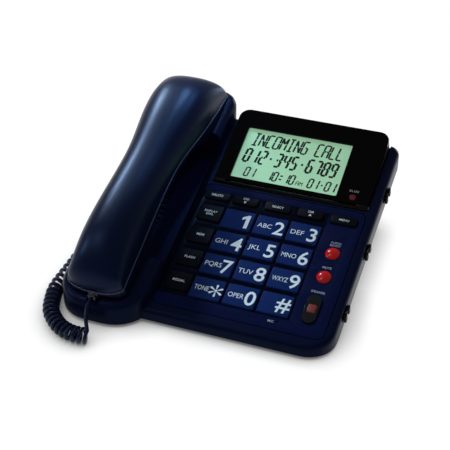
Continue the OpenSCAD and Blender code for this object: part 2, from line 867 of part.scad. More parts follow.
board_in = 1;
module main_circuit_board() {
  w = plate_left + plate_right - 2*board_in;
  d = plate_front + plate_rear - 2*board_in;
  color("darkgreen") difference() {
    on_deck()
      translate([(plate_right - plate_left)/2, (plate_rear - plate_front)/2, mat_z - board_t])
        linear_extrude(board_t) rounded(w, d, board_corner);
    speaker_room();
  }
}

// Loudspeaker under the grille: basket rim, cone and magnet
speaker_r = 20;
cone_r = 17;
cone_cap_r = 6;
cone_drop = 0.8;
cone_deep = 3;
basket_r = 14;
basket_h = 7;
speaker_rim = 2;
magnet_r = 11;
speaker_h = 13;
module base_speaker() {
  color("dimgray") on_deck() translate([-hs_x, speaker_y, face_z - wall])
    rotate_extrude() polygon([[0, -cone_deep], [cone_cap_r, -cone_deep], [cone_r, -cone_drop], [cone_r, 0],
      [speaker_r, 0], [speaker_r, -speaker_rim], [basket_r, -basket_h], [magnet_r, -basket_h],
      [magnet_r, -speaker_h], [0, -speaker_h]]);
}

base_mic_r = 2.4;
base_mic_h = 2.7;
module base_microphone() {
  color("silver") on_deck() translate([mic_at[0], mic_at[1], plate_z - base_mic_h])
    cylinder(r = base_mic_r, h = base_mic_h);
}

module at_line_jack() {
  translate([line_jack_x, y_rear - wall - jack_set_back - jack_d, line_jack_z]) children();
}

module jack_block(grow) {
  translate([-jack_w/2 - grow, -grow, -jack_h/2 - grow])
    cube([jack_w + 2*grow, jack_d + 2*grow, jack_h + 2*grow]);
}

module line_jack() {
  color("black") at_line_jack() difference() {
    jack_block(0);
    translate([-jack_open_w/2, jack_skin, -jack_open_h/2]) cube([jack_open_w, jack_d, jack_open_h]);
  }
}

module base_cord_jack() {
  inner_w = plug_w + 2*plug_gap;
  inner_h = plug_h + 2*plug_gap;
  color("black") translate([jack_face, cord_jack_y, cord_jack_z]) difference() {
    translate([0, -plug_w/2 - jack_skin + jack_fit, -plug_h/2 - jack_skin + jack_fit])
      cube([plug_l, plug_w + 2*jack_skin - 2*jack_fit, plug_h + 2*jack_skin - 2*jack_fit]);
    translate([-cut, -inner_w/2, -inner_h/2]) cube([plug_l - plug_proud + cut, inner_w, inner_h]);
  }
}

module slide_controls() {
  body_l = slide_stem_l + 2*knob_travel + 2*slide_gap + 2*slide_end;
  body_h = slide_stem_h + 2*slide_gap + 2*slide_skin;
  color("black") for (i = [0:2]) at_slide(i) translate([-wall - slide_body_t, 0, 0]) difference() {
    translate([0, -body_l/2, -body_h/2]) cube([slide_body_t, body_l, body_h]);
    translate([slide_back, 0, 0]) slide_slot(slide_body_t);
  }
}

// Slide knob: foot on the wall, two finger ribs and the stem through the slot
rib_l = 3.6;
knob_foot_t = 0.9;
module slide_knob(i) {
  color("black") at_slide(i) {
    translate([knob_gap, -knob_l/2, -knob_h/2]) cube([knob_foot_t, knob_l, knob_h]);
    for (s = [-1, 1]) translate([knob_gap, s*(knob_l - rib_l)/2 - rib_l/2, -knob_h/2])
      cube([knob_proud - knob_gap, rib_l, knob_h]);
    translate([-wall - slide_body_t + stem_short, -slide_stem_l/2, -slide_stem_h/2])
      cube([wall + slide_body_t, slide_stem_l, slide_stem_h]);
  }
}

hook_under = pocket_floor - wall;
hook_flange_t = 1.2;
module hook_plunger() {
  color("black") at_hook() {
    translate([0, 0, hook_under - hook_gap - hook_travel - hook_flange_t])
      cylinder(r = hook_r, h = wall + hook_travel + hook_flange_t);
    translate([0, 0, hook_under - hook_gap - hook_travel - hook_flange_t])
      cylinder(r = hook_flange_r, h = hook_flange_t);
  }
}

switch_skin = 0.8;
switch_spare = 2;
switch_floor = 2;
module hook_switch() {
  low = hook_under - hook_travel - hook_flange_t - switch_spare;
  half = hook_flange_r + hook_gap + switch_skin;
  color("black") at_hook() difference() {
    translate([-half, -half, low - switch_floor]) cube([2*half, 2*half, hook_under - low + switch_floor]);
    translate([0, 0, low]) cylinder(r = hook_flange_r + hook_gap, h = far/10);
  }
}

// Steel pins pressed into the housing, on which the display turns
module pin_bores(r) {
  for (s = [-1, 1]) translate([disp_x + s*(disp_w/2 - pin_in), 0, 0])
    rotate([0, s*90, 0]) cylinder(r = r, h = pin_in + disp_gap + wall);
}

module display_hinge_pins() {
  color("silver") on_display() pin_bores(pin_r);
}

module battery_cells() {
  color("goldenrod") at_bay() for (i = [0:cell_count - 1]) {
    way = i % 2 == 0 ? 1 : -1;
    translate([0, bay_gap + cell_d/2 + i*(cell_d + bay_gap), bay_z + cell_d/2]) rotate([0, way*90, 0]) {
      translate([0, 0, -cell_l/2 - cell_tip/2]) cylinder(d = cell_d, h = cell_l);
      translate([0, 0, cell_l/2 - cell_tip/2]) cylinder(d = cell_tip_d, h = cell_tip);
    }
  }
}

module battery_contacts() {
  color("silver") at_bay() for (i = [0:cell_count - 1], s = [-1, 1])
    translate([s*(bay_l/2 - contact_t/2), bay_gap + cell_d/2 + i*(cell_d + bay_gap), bay_z + cell_d/2])
      cube([contact_t, contact_w, contact_w], center = true);
}

module base_screws() {
  color("silver") at_screws() {
    translate([0, 0, foot_h + screw_slip]) cylinder(r = screw_head_r, h = screw_head_h);
    translate([0, 0, foot_h + screw_head_h]) cylinder(r = screw_r, h = screw_l);
  }
}

// Door that slides out to the rear in the floor's grooves
module battery_door() {
  door_w = bay_l - 2*bay_gap;
  door_d = deck_y1 - tub_in - tub_taper - pad_y - bay_y - door_short;
  color(navy) at_bay() {
    translate([-door_w/2, -door_tongue + bay_gap, foot_h + door_lift]) cube([door_w, door_d, door_t]);
    translate([-door_w/2 - door_tongue, -door_tongue + bay_gap, foot_h + door_t/2 + door_lift])
      cube([door_w + 2*door_tongue, door_d, door_t/2]);
  }
}

case_lead = 1.5;
case_rib = 2;
rib_from_end = 6;
module display_case() {
  lcd_room = [lcd_w + 2*lcd_border + 2*lcd_gap, disp_end - disp_wall + case_lead];
  side = disp_w - 2*disp_wall;
  color(near_black) on_display() difference() {
    union() {
      translate([disp_x - disp_w/2, 0, 0]) rotate([0, 90, 0]) cylinder(r = barrel_r, h = disp_w);
      translate([disp_x, 0, disp_back]) linear_extrude(disp_t - window_t) display_outline();
    }
    translate([-lcd_x - lcd_room[0]/2, -case_lead, disp_back + disp_wall])
      cube([lcd_room[0] + lamp_room, lcd_room[1], disp_t]);
    translate([disp_x - side/2, barrel_r + disp_wall, disp_back + disp_wall])
      cube([side, disp_end - 2*disp_wall - barrel_r, disp_t]);
    translate([disp_x, 0, disp_face - window_t]) linear_extrude(window_t + cut) display_outline();
    pin_bores_running();
  }
  color(near_black) on_display() for (y = [lcd_y + rib_from_end, lcd_y + lcd_h - rib_from_end - case_rib])
    translate([-lcd_x - lcd_w/2, y, disp_back + disp_wall - eps])
      cube([lcd_w, case_rib, backlight_seat + eps]);
}
backlight_seat = -disp_back - disp_wall + disp_face - window_t - lcd_air - lcd_t - backlight_t;

pin_end = 0.5;
module pin_bores_running() {
  for (s = [-1, 1]) translate([disp_x + s*(disp_w/2 - pin_in - pin_end), 0, 0])
    rotate([0, s*90, 0]) cylinder(r = pin_r + pin_gap, h = pin_in + pin_end + cut);
}

// Outline of the display, square at the hinge and rounded at its far corners
module display_outline() {
  translate([-disp_w/2, 0]) square([disp_w, disp_end - disp_corner]);
  translate([-disp_w/2 + disp_corner, 0]) square([disp_w - 2*disp_corner, disp_end]);
  for (s = [-1, 1]) translate([s*(disp_w/2 - disp_corner), disp_end - disp_corner]) circle(disp_corner);
}

module display_window() {
  color("black") on_display() difference() {
    translate([disp_x, 0, disp_face - window_t]) linear_extrude(window_t) display_outline();
    translate([lamp_at[0], lamp_at[1], 0]) cylinder(r = lamp_r + lamp_gap, h = far/20);
  }
}

lcd_plate = [lcd_w + 2*lcd_border, lcd_h + 2*lcd_border];
lcd_z = disp_face - window_t - lcd_air - lcd_t;
module lcd_module() {
  color("palegreen") on_display() translate([-lcd_x - lcd_plate[0]/2, lcd_y - lcd_border, lcd_z])
    cube([lcd_plate[0], lcd_plate[1], lcd_t]);
}

module lcd_backlight() {
  color("white") on_display() translate([-lcd_x - lcd_plate[0]/2, lcd_y - lcd_border, lcd_z - backlight_t])
    cube([lcd_plate[0], lcd_plate[1], backlight_t]);
}

module in_use_light() {
  color("red") on_display() translate([lamp_at[0], lamp_at[1], disp_back + disp_wall])
    cylinder(r = lamp_r, h = disp_t - disp_wall + lamp_proud);
}

// Handset: back shell with screw posts, front shell with caps, sound holes and cord jack
post_r = 3.4;
post_u = 30;
post_gap = 0.3;
seam_sink = 3;
handset_screw_r = 1.3;
handset_screw_l = 12;
handset_head_r = 2.4;
handset_head_h = 1.1;
handset_bore_spare = 2;
module handset_back_shell() {
  color(navy) on_handset() difference() {
    union() {
      difference() {
        back_solid(0, 0);
        back_solid(hs_wall, seam_sink);
      }
      intersection() {
        back_solid(hs_wall/2, hs_grip_depth);
        for (u = [-post_u, post_u]) translate([0, u, hs_low(u) + hs_wall + post_gap])
          cylinder(r = post_r, h = far/10);
      }
    }
    for (u = [-post_u, post_u]) translate([0, u, 0])
      cylinder(r = handset_screw_r + screw_bite, h = hs_low(post_u) + handset_screw_l + handset_bore_spare);
  }
}

jack_depth = plug_l - plug_proud;
nose_solid = 14;
plug_roof = 0.8;
plug_z = hs_seam - plug_h/2 - plug_roof;
ear_holes = 6;
ear_ring = 6;
mouth_holes = 4;
mouth_ring = 3.5;
sound_r = 0.9;
module handset_front_shell() {
  ends = hs_l/2 - tip;
  color(navy) on_handset() difference() {
    front_solid(-ends, ends, 0, 0);
    front_solid(-ends + nose_solid, ends - hs_wall, -hs_wall, seam_sink);
    translate([-plug_w/2 - plug_gap, -hs_l/2 - cut, plug_z - plug_h/2 - plug_gap])
      cube([plug_w + 2*plug_gap, jack_depth + cut, plug_h + 2*plug_gap]);
    for (u = [-post_u, post_u]) translate([0, u, 0]) {
      cylinder(r = handset_screw_r + screw_slip, h = far/10);
      cylinder(r = handset_head_r + post_gap, h = hs_low(post_u) + handset_head_h + post_gap);
    }
    translate([0, hs_l/2 - capsule_in, 0]) sound_holes(ear_holes, ear_ring);
    translate([0, capsule_in - hs_l/2, 0]) sound_holes(mouth_holes, mouth_ring);
  }
}

// Ring of sound holes round a middle one
module sound_holes(count, ring_r) {
  deep = cap_z + hs_wall + 2*cut;
  cylinder(r = sound_r, h = deep);
  for (i = [0:count - 1]) rotate(360*i/count) translate([ring_r, 0, 0]) cylinder(r = sound_r, h = deep);
}

capsule_pad = 0.5;
capsule_seat = cap_z + hs_wall + capsule_pad;
receiver_bevel = 1;
receiver_rim = 5;
receiver_cone = 6;
receiver_coil_r = 9;
receiver_h = 9;
module handset_receiver() {
  r = receiver_d/2;
  color("silver") on_handset() translate([0, hs_l/2 - capsule_in, capsule_seat]) rotate_extrude()
    polygon([[0, 0], [r - receiver_bevel, 0], [r, receiver_bevel], [r, receiver_rim],
      [receiver_coil_r, receiver_cone], [receiver_coil_r, receiver_h], [0, receiver_h]]);
}

handset_mic_r = 4.85;
handset_mic_h = 6.7;
module handset_microphone() {
  color("silver") on_handset() translate([0, capsule_in - hs_l/2, capsule_seat])
    cylinder(r = handset_mic_r, h = handset_mic_h);
}

weight_l = 40;
weight_w = 16;
weight_h = 6;
weight_gap = 0.1;
module handset_weight() {
  color("gray") on_handset() translate([-weight_w/2, -weight_l/2, hs_low(0) + hs_wall + weight_gap])
    cube([weight_w, weight_l, weight_h]);
}

module handset_screws() {
  color("silver") on_handset() for (u = [-post_u, post_u]) translate([0, u, hs_low(post_u) + screw_slip]) {
    cylinder(r = handset_head_r, h = handset_head_h);
    cylinder(r = handset_screw_r, h = handset_screw_l);
  }
}

// Modular plugs: clear bodies with a drawn-in tail
plug_tail = 2.5;
plug_step = 1;
module plug_body() {
  translate([-plug_w/2, 0, -plug_h/2]) cube([plug_w, plug_l - plug_tail, plug_h]);
  translate([-plug_w/2 + plug_step, 0, -plug_h/2 + plug_step])
    cube([plug_w - 2*plug_step, plug_l, plug_h - 2*plug_step]);
}

module handset_plug() {
  color("gainsboro") on_handset() translate([0, -hs_l/2 + jack_depth - plug_gap, plug_z])
    rotate([0, 0, 180]) plug_body();
}

module base_plug() {
  color("gainsboro") translate([jack_face + jack_depth - plug_gap, cord_jack_y, cord_jack_z])
    rotate([0, 0, 90]) plug_body();
}

// Curly cord: hand-placed axis of the coil on the table, from the base's front left, and tails to the plugs
table_gap = 0.3;
coil_z = curl_r + cord_d/2 + table_gap;
coil_lay = [[38.5, -19.6], [33, -20.6], [26.1, -20.3], [18.3, -17.8], [10.9, -12.7], [1.6, -2.4], [-4.9, 13.8],
  [-6.9, 22.8], [-7.4, 34], [-7.8, 48], [-8.6, 66], [-10.2, 84], [-12.4, 102], [-14.6, 122], [-15.8, 142],
  [-15.4, 158], [-13.05, 171.5]];
coil_axis = [for (p = coil_lay) [x_left + p[0], y_front + p[1]]];
rings_per_curl = 8;
cord_sides = 6;
half_curls = curls + 0.5;
curl_steps = 100;

// Smooth curve through the axis points
axis_steps = 8;
function blend_points(a, b, c, d, t) =
  0.5*(2*b + (c - a)*t + (2*a - 5*b + 4*c - d)*t*t + (3*b - a - 3*c + d)*t*t*t);
function curve(p) = let (n = len(p)) concat([for (i = [0:n - 2], k = [0:axis_steps - 1])
  blend_points(p[max(i - 1, 0)], p[i], p[i + 1], p[min(i + 2, n - 1)], k/axis_steps)], [p[n - 1]]);
axis_line = curve(coil_axis);
axis_run = [for (i = 0, s = 0; i < len(axis_line);
  s = s + (i + 1 < len(axis_line) ? norm(axis_line[i + 1] - axis_line[i]) : 0), i = i + 1) s];
axis_length = axis_run[len(axis_run) - 1];
function axis_value(s, k) = lookup(s, [for (i = [0:len(axis_run) - 1]) [axis_run[i], axis_line[i][k]]]);
function axis_point(s) = [axis_value(s, 0), axis_value(s, 1)];
function unit(v) = v/norm(v);
probe = 1.5;
function axis_heading(s) = unit(axis_point(min(s + probe, axis_length)) - axis_point(max(s - probe, 0)));

// Curls counted up to a place on the axis, and the place of a curl by looking it up in that count
function curls_before(t) = half_curls*(t + curl_bunch*sin(360*t)/(2*PI));
curl_count = [for (k = [0:curl_steps]) [curls_before(k/curl_steps), axis_length*k/curl_steps]];

function curl_point(i) = let (
    s = lookup(i/rings_per_curl, curl_count),
    a = 90 - 360*i/rings_per_curl,
    p = axis_point(s),
    h = axis_heading(s))
  [p[0] - h[1]*curl_r*cos(a), p[1] + h[0]*curl_r*cos(a), coil_z + curl_r*sin(a)];
coil_points = [for (i = [0:rings_per_curl*half_curls]) curl_point(i)];

// Ends of the cord: face of each plug, one diameter straight out, then down to the coil
tail_gap = 0.3;
plug_face = [0, -hs_l/2 + jack_depth - plug_gap - plug_l - tail_gap, plug_z];
function from_handset(p) = let (
    y = p[1] + hs_y,
    z = p[2])
  [pad_x - hs_x + p[0], pad_y + y*cos(deck_slope) - z*sin(deck_slope),
    pad_h + y*sin(deck_slope) + z*cos(deck_slope)];
handset_face = from_handset(plug_face);
handset_lay = [[0.4, -7.4, -2.2], [1.3, -11.4, -4.6], [2.8, -14.9, -7.4], [4.3, -17.4, -9.6]];
handset_tail = concat([handset_face, from_handset(plug_face - [0, cord_d, 0])],
  [for (p = handset_lay) handset_face + p]);
base_face = [jack_face + jack_depth - plug_gap - plug_l, cord_jack_y, cord_jack_z];
base_lay = [[-17.05, -1.2, -9.3], [-13.65, -0.4, -8.4], [-10.25, 0, -6], [-7.45, 0, -3], [-4.85, 0, -0.8],
  [-cord_d, 0, 0], [0, 0, 0]];
base_tail = [for (p = base_lay) base_face + p];
cord_path = concat(handset_tail, coil_points, base_tail);

// Frames carried along the path without twist, and the rings they place
cord_n = len(cord_path);
function path_heading(i) = i == 0 ? unit(cord_path[1] - cord_path[0])
  : i == cord_n - 1 ? unit(cord_path[i] - cord_path[i - 1])
  : unit(unit(cord_path[i + 1] - cord_path[i]) + unit(cord_path[i] - cord_path[i - 1]));
cord_headings = [for (i = [0:cord_n - 1]) path_heading(i)];
function level_out(n, t) = unit(n - t*(n*t));
cord_normals = [for (i = 0, n = level_out([0, 0, 1], cord_headings[0]); i < cord_n;
  n = i + 1 < cord_n ? level_out(n, cord_headings[i + 1]) : n, i = i + 1) n];
function cord_ring(i) = [for (j = [0:cord_sides - 1]) let (
    a = 360*j/cord_sides,
    side = cross(cord_headings[i], cord_normals[i]))
  cord_path[i] + cord_d/2*(cos(a)*cord_normals[i] + sin(a)*side)];

module handset_cord() {
  n = cord_sides;
  sides = [for (i = [0:cord_n - 2], j = [0:n - 1], k = [0, 1]) let (
      a = i*n + j,
      b = i*n + (j + 1) % n,
      c = (i + 1)*n + (j + 1) % n,
      d = (i + 1)*n + j)
    k == 0 ? [a, c, b] : [a, d, c]];
  caps = [for (j = [1:n - 2], e = [0, 1]) let (o = e*(cord_n - 1)*n)
    e == 0 ? [o, o + j, o + j + 1] : [o, o + j + 1, o + j]];
  color(navy) polyhedron(points = [for (i = [0:cord_n - 1], p = cord_ring(i)) p], faces = concat(sides, caps),
    convexity = 20);
}

// Least gap of the cord to itself, between points of neighbouring curls
curl_gaps = [for (i = [0:len(coil_points) - rings_per_curl - 3], k = [rings_per_curl - 2:rings_per_curl + 2])
  norm(coil_points[i + k] - coil_points[i]) - cord_d];
echo(axis_length = axis_length, curl_pitch = axis_length/half_curls, least_gap = min(curl_gaps));

base_top_housing();
base_bottom_housing();
rubber_feet();
keypad_faceplate();
key_mat();
main_circuit_board();
base_speaker();
base_microphone();
line_jack();
base_cord_jack();
slide_controls();
hook_switch();
display_hinge_pins();
battery_cells();
battery_contacts();
base_screws();
battery_door();
hook_plunger();
for (i = [0:11]) dial_key(i);
for (i = [0:3]) function_key(i);
for (i = [0:4]) bar_key(i);
round_button(boost_y);  // button_boost
round_button(mute_y);  // button_mute
button_speaker();
speaker_light();
for (i = [0:2]) slide_knob(i);
display_case();
display_window();
lcd_module();
lcd_backlight();
in_use_light();
handset_back_shell();
handset_front_shell();
handset_receiver();
handset_microphone();
handset_weight();
handset_screws();
handset_plug();
base_plug();
handset_cord();
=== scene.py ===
from math import cos, pi, radians, sin, sqrt

import bmesh
import bpy
from mathutils import Matrix, Vector


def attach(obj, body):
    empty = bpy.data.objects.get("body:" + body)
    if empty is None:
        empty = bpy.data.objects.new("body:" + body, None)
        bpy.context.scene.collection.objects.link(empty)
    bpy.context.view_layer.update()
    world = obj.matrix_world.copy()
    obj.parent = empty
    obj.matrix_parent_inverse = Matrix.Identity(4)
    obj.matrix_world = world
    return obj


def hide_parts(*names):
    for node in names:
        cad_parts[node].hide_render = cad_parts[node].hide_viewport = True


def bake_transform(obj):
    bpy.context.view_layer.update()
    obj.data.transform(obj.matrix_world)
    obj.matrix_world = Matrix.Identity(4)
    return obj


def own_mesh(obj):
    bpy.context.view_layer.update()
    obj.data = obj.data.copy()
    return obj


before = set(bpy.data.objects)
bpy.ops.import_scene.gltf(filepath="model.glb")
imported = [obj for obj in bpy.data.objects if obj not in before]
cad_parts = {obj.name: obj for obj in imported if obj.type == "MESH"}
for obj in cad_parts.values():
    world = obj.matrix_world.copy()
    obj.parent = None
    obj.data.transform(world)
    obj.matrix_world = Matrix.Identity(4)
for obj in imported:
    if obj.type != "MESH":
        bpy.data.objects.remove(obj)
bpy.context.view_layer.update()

# Studio: a white floor with soft spots on the handset, keys, cord and rear, and fill from all round.
# The camera stands in front and to the right of the telephone and looks down on the keys.
# The top of the middle key gives it its aim.
MIDDLE_KEY = Vector((0.02655, -0.0225, 0.033))
CAMERA_ROUND = radians(20.54)
CAMERA_UP = radians(33.59)
CAMERA_OFF = 0.7956
CAMERA_LEFT = 0.02554
CAMERA_RISE = 0.01691
AMBIENT = 0.24
FLOOR_HALF = 12
scene = bpy.context.scene
scene.view_settings.view_transform = "Standard"

towards = Vector((sin(CAMERA_ROUND)*cos(CAMERA_UP), -cos(CAMERA_ROUND)*cos(CAMERA_UP), sin(CAMERA_UP)))
aside = Vector((cos(CAMERA_ROUND), sin(CAMERA_ROUND), 0))
over = towards.cross(aside)
camera = bpy.data.objects.new("camera", bpy.data.cameras.new("camera"))
camera.data.lens = 89.44
camera.data.sensor_width = 36
camera.data.clip_end = 20
camera_place = MIDDLE_KEY + towards*CAMERA_OFF - aside*CAMERA_LEFT + over*CAMERA_RISE
camera_turn = Matrix((aside, over, towards)).transposed().to_4x4()
camera.matrix_world = Matrix.Translation(camera_place) @ camera_turn
scene.collection.objects.link(camera)
scene.camera = camera

world = bpy.data.worlds.new("studio")
scene.world = world
world.use_nodes = True
world.node_tree.nodes["Background"].inputs["Color"].default_value = (1, 1, 1, 1)
world.node_tree.nodes["Background"].inputs["Strength"].default_value = AMBIENT


def soft_spot(name, place, aim, beam, radius, watts, tint):
    """A round soft light with a narrow beam, in degrees, that fades towards its edge."""
    lamp = bpy.data.objects.new(name, bpy.data.lights.new(name, "SPOT"))
    lamp.data.energy = watts
    lamp.data.color = tint
    lamp.data.spot_size = radians(beam)
    lamp.data.spot_blend = 1
    lamp.data.shadow_soft_size = radius
    lamp.location = place
    lamp.rotation_euler = (Vector(aim) - Vector(place)).to_track_quat("-Z", "Y").to_euler()
    scene.collection.objects.link(lamp)


soft_spot("spot_grip", (-0.674, 0.527, 0.716), (-0.073, 0.042, 0.098), 8.5, 0.1, 92, (0.64, 0.83, 1))
soft_spot("spot_top", (-0.158, 0.588, 0.948), (-0.068, 0.064, 0.1), 5, 0.06, 62, (0.38, 0.66, 1))
soft_spot("spot_ear", (0.209, 0.566, 0.919), (-0.06, 0.07, 0.1), 5.5, 0.06, 22, (0.25, 0.55, 1))
soft_spot("spot_keys", (-0.45, -0.395, 0.937), (0.055, -0.015, 0.035), 13, 0.3, 46, (0.95, 0.98, 1))
soft_spot("spot_cord", (-0.851, -0.331, 0.445), (-0.095, -0.095, 0.02), 9, 0.1, 18, (0.6, 0.8, 1))
soft_spot("spot_rear", (0.3, 1.04, 0.04), (0.02, 0.09, 0.02), 22, 0.2, 12, (0.6, 0.8, 1))

floor_mesh = bmesh.new()
bmesh.ops.create_grid(floor_mesh, x_segments=1, y_segments=1, size=FLOOR_HALF)
floor_data = bpy.data.meshes.new("floor")
floor_mesh.to_mesh(floor_data)
floor_mesh.free()
floor = bpy.data.objects.new("floor", floor_data)
scene.collection.objects.link(floor)

# The paper glows white to the eye and in reflections, and less close under the telephone.
paper = bpy.data.materials.new("white_paper")
paper.use_nodes = True
paper_nodes = paper.node_tree
paper_skin = paper_nodes.nodes["Principled BSDF"]
paper_skin.inputs["Base Color"].default_value = (0.12, 0.12, 0.12, 1)
paper_skin.inputs["Roughness"].default_value = 0.9
paper_skin.inputs["Specular IOR Level"].default_value = 0.1
paper_glow = paper_nodes.nodes.new("ShaderNodeEmission")
paper_near = paper_nodes.nodes.new("ShaderNodeAmbientOcclusion")
paper_near.samples = 16
paper_near.inputs["Distance"].default_value = 0.022
paper_shade = paper_nodes.nodes.new("ShaderNodeMapRange")
paper_shade.inputs["From Min"].default_value = 0.2
paper_shade.inputs["From Max"].default_value = 0.95
paper_shade.inputs["To Min"].default_value = 0.1
paper_shade.inputs["To Max"].default_value = 0.98
paper_nodes.links.new(paper_near.outputs["AO"], paper_shade.inputs["Value"])
paper_nodes.links.new(paper_shade.outputs["Result"], paper_glow.inputs["Strength"])
paper_dark = paper_nodes.nodes.new("ShaderNodeEmission")
paper_dark.inputs["Strength"].default_value = 0
paper_path = paper_nodes.nodes.new("ShaderNodeLightPath")
paper_seen = paper_nodes.nodes.new("ShaderNodeMath")
paper_seen.operation = "MAXIMUM"
paper_through = paper_nodes.nodes.new("ShaderNodeMath")
paper_through.operation = "MAXIMUM"
paper_mix = paper_nodes.nodes.new("ShaderNodeMixShader")
paper_sum = paper_nodes.nodes.new("ShaderNodeAddShader")
paper_nodes.links.new(paper_path.outputs["Is Camera Ray"], paper_seen.inputs[0])
paper_nodes.links.new(paper_path.outputs["Is Glossy Ray"], paper_seen.inputs[1])
paper_nodes.links.new(paper_seen.outputs["Value"], paper_through.inputs[0])
paper_nodes.links.new(paper_path.outputs["Is Transmission Ray"], paper_through.inputs[1])
paper_nodes.links.new(paper_through.outputs["Value"], paper_mix.inputs["Fac"])
paper_nodes.links.new(paper_dark.outputs["Emission"], paper_mix.inputs[1])
paper_nodes.links.new(paper_glow.outputs["Emission"], paper_mix.inputs[2])
paper_nodes.links.new(paper_skin.outputs["BSDF"], paper_sum.inputs[0])
paper_nodes.links.new(paper_mix.outputs["Shader"], paper_sum.inputs[1])
paper_nodes.links.new(paper_sum.outputs["Shader"], paper_nodes.nodes["Material Output"].inputs["Surface"])
floor_data.materials.append(paper)

# Upper and lower housing: two injection-moulded shells in navy plastic with a satin gloss.
# They lap at the skirt and are held by screws from below; the feet are glued rubber discs.
# The mould's fine grain shows as a faint unevenness of the gloss.
CLOUDS = 45
GRAIN_DEEP = 0.0001
WELD = 3e-6
FLAT = radians(0.4)
BLUE_GLEAM = (0.3, 0.5, 1, 1)


def shade(r, g, b):
    """The linear colour of red, green and blue values from 0 to 255."""
    return tuple((v/255/12.92 if v <= 10 else ((v/255 + 0.055)/1.055)**2.4) for v in (r, g, b)) + (1,)


def moulded(name, colour, second, roughness, spread, grain, bump, shine=0.2, gleam=(1, 1, 1, 1)):
    """Moulded plastic: two close colours in soft clouds, roughness that varies by spread, a fine grain."""
    material = bpy.data.materials.new(name)
    material.use_nodes = True
    tree = material.node_tree
    skin = tree.nodes["Principled BSDF"]
    skin.inputs["Specular IOR Level"].default_value = shine
    skin.inputs["Specular Tint"].default_value = gleam
    place = tree.nodes.new("ShaderNodeTexCoord")
    cloud = tree.nodes.new("ShaderNodeTexNoise")
    cloud.inputs["Scale"].default_value = CLOUDS
    cloud.inputs["Detail"].default_value = 4
    tint = tree.nodes.new("ShaderNodeMix")
    tint.data_type = "RGBA"
    tint.inputs["A"].default_value = colour
    tint.inputs["B"].default_value = second
    gloss = tree.nodes.new("ShaderNodeMapRange")
    gloss.inputs["To Min"].default_value = roughness - spread
    gloss.inputs["To Max"].default_value = roughness + spread
    speck = tree.nodes.new("ShaderNodeTexNoise")
    speck.inputs["Scale"].default_value = grain
    speck.inputs["Detail"].default_value = 2
    relief = tree.nodes.new("ShaderNodeBump")
    relief.inputs["Strength"].default_value = bump
    relief.inputs["Distance"].default_value = GRAIN_DEEP
    tree.links.new(place.outputs["Object"], cloud.inputs["Vector"])
    tree.links.new(place.outputs["Object"], speck.inputs["Vector"])
    tree.links.new(cloud.outputs["Fac"], tint.inputs["Factor"])
    tree.links.new(tint.outputs["Result"], skin.inputs["Base Color"])
    tree.links.new(cloud.outputs["Fac"], gloss.inputs["Value"])
    tree.links.new(gloss.outputs["Result"], skin.inputs["Roughness"])
    tree.links.new(speck.outputs["Fac"], relief.inputs["Height"])
    tree.links.new(relief.outputs["Normal"], skin.inputs["Normal"])
    return material


def smoothed(mesh, crease):
    """Curves shade smoothly, and edges sharper than the crease, in degrees, stay crisp."""
    for f in mesh.faces:
        f.smooth = True
    for e in mesh.edges:
        e.smooth = len(e.link_faces) == 2 and e.calc_face_angle(0) < radians(crease)


def placed(name, mesh, material, body, slot, *nodes):
    """A finished mesh becomes a piece that rides on its body, if it has one, and stands for its nodes."""
    data = bpy.data.meshes.new(name)
    mesh.to_mesh(data)
    mesh.free()
    data.materials.append(material)
    piece = bpy.data.objects.new(name, data)
    scene.collection.objects.link(piece)
    if body:
        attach(piece, body)
    if nodes:
        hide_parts(*nodes)
    return piece


def dressed(node, material, body, slot, crease=32, edge=0.0, segments=3):
    """The moulded form of a node with smooth curves and rounded edges."""
    mesh = bmesh.new()
    mesh.from_mesh(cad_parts[node].data)
    bmesh.ops.remove_doubles(mesh, verts=mesh.verts, dist=WELD)
    bmesh.ops.dissolve_limit(mesh, angle_limit=FLAT, verts=mesh.verts, edges=mesh.edges)
    if edge:
        sharp = [e for e in mesh.edges if len(e.link_faces) == 2 and e.calc_face_angle(0) > radians(crease)]
        bmesh.ops.bevel(mesh, geom=sharp, offset=edge, offset_type="OFFSET", affect="EDGES",
                        segments=segments, profile=0.5, material=-1, clamp_overlap=True)
    smoothed(mesh, crease)
    return placed("visual_" + node, mesh, material, body, slot, node)


navy = moulded("navy_plastic", shade(13, 19, 50), shade(11, 16, 44), 0.3, 0.04, 2600, 0.05, 0.1, BLUE_GLEAM)
dressed("base_top_housing", navy, "base", "navy_plastic")
dressed("base_bottom_housing", navy, "base", "navy_plastic")
dressed("battery_door", navy, "door", "navy_plastic", edge=0.0003)
foot_rubber = moulded("foot_rubber", shade(46, 46, 48), shade(36, 36, 38), 0.75, 0.08, 1800, 0.2)
dressed("rubber_feet", foot_rubber, "base", "foot_rubber", edge=0.0003)

# Pieces inside the base: board, loudspeaker, jacks, switch, slide controls, cells and screws.
# They are made of plated steel, black moulded plastic and printed board, and sit in the housing.
# The hook plunger and the knobs of the three slides reach out through it.
steel = moulded("plated_steel", shade(176, 178, 182), shade(158, 160, 166), 0.3, 0.08, 900, 0.08)
steel.node_tree.nodes["Principled BSDF"].inputs["Metallic"].default_value = 1
black = moulded("black_plastic", shade(8, 8, 12), shade(6, 6, 9), 0.4, 0.06, 2400, 0.1, 0.12)
board_green = moulded("board_green", shade(24, 92, 48), shade(18, 78, 40), 0.4, 0.1, 1200, 0.15)
cell_jacket = moulded("cell_jacket", shade(150, 124, 40), shade(132, 108, 32), 0.3, 0.06, 700, 0.05)


def coated(material, *nodes):
    """Nodes that keep their shape and get a finer material."""
    for node in nodes:
        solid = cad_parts[node]
        solid.data.materials.clear()
        solid.data.materials.append(material)


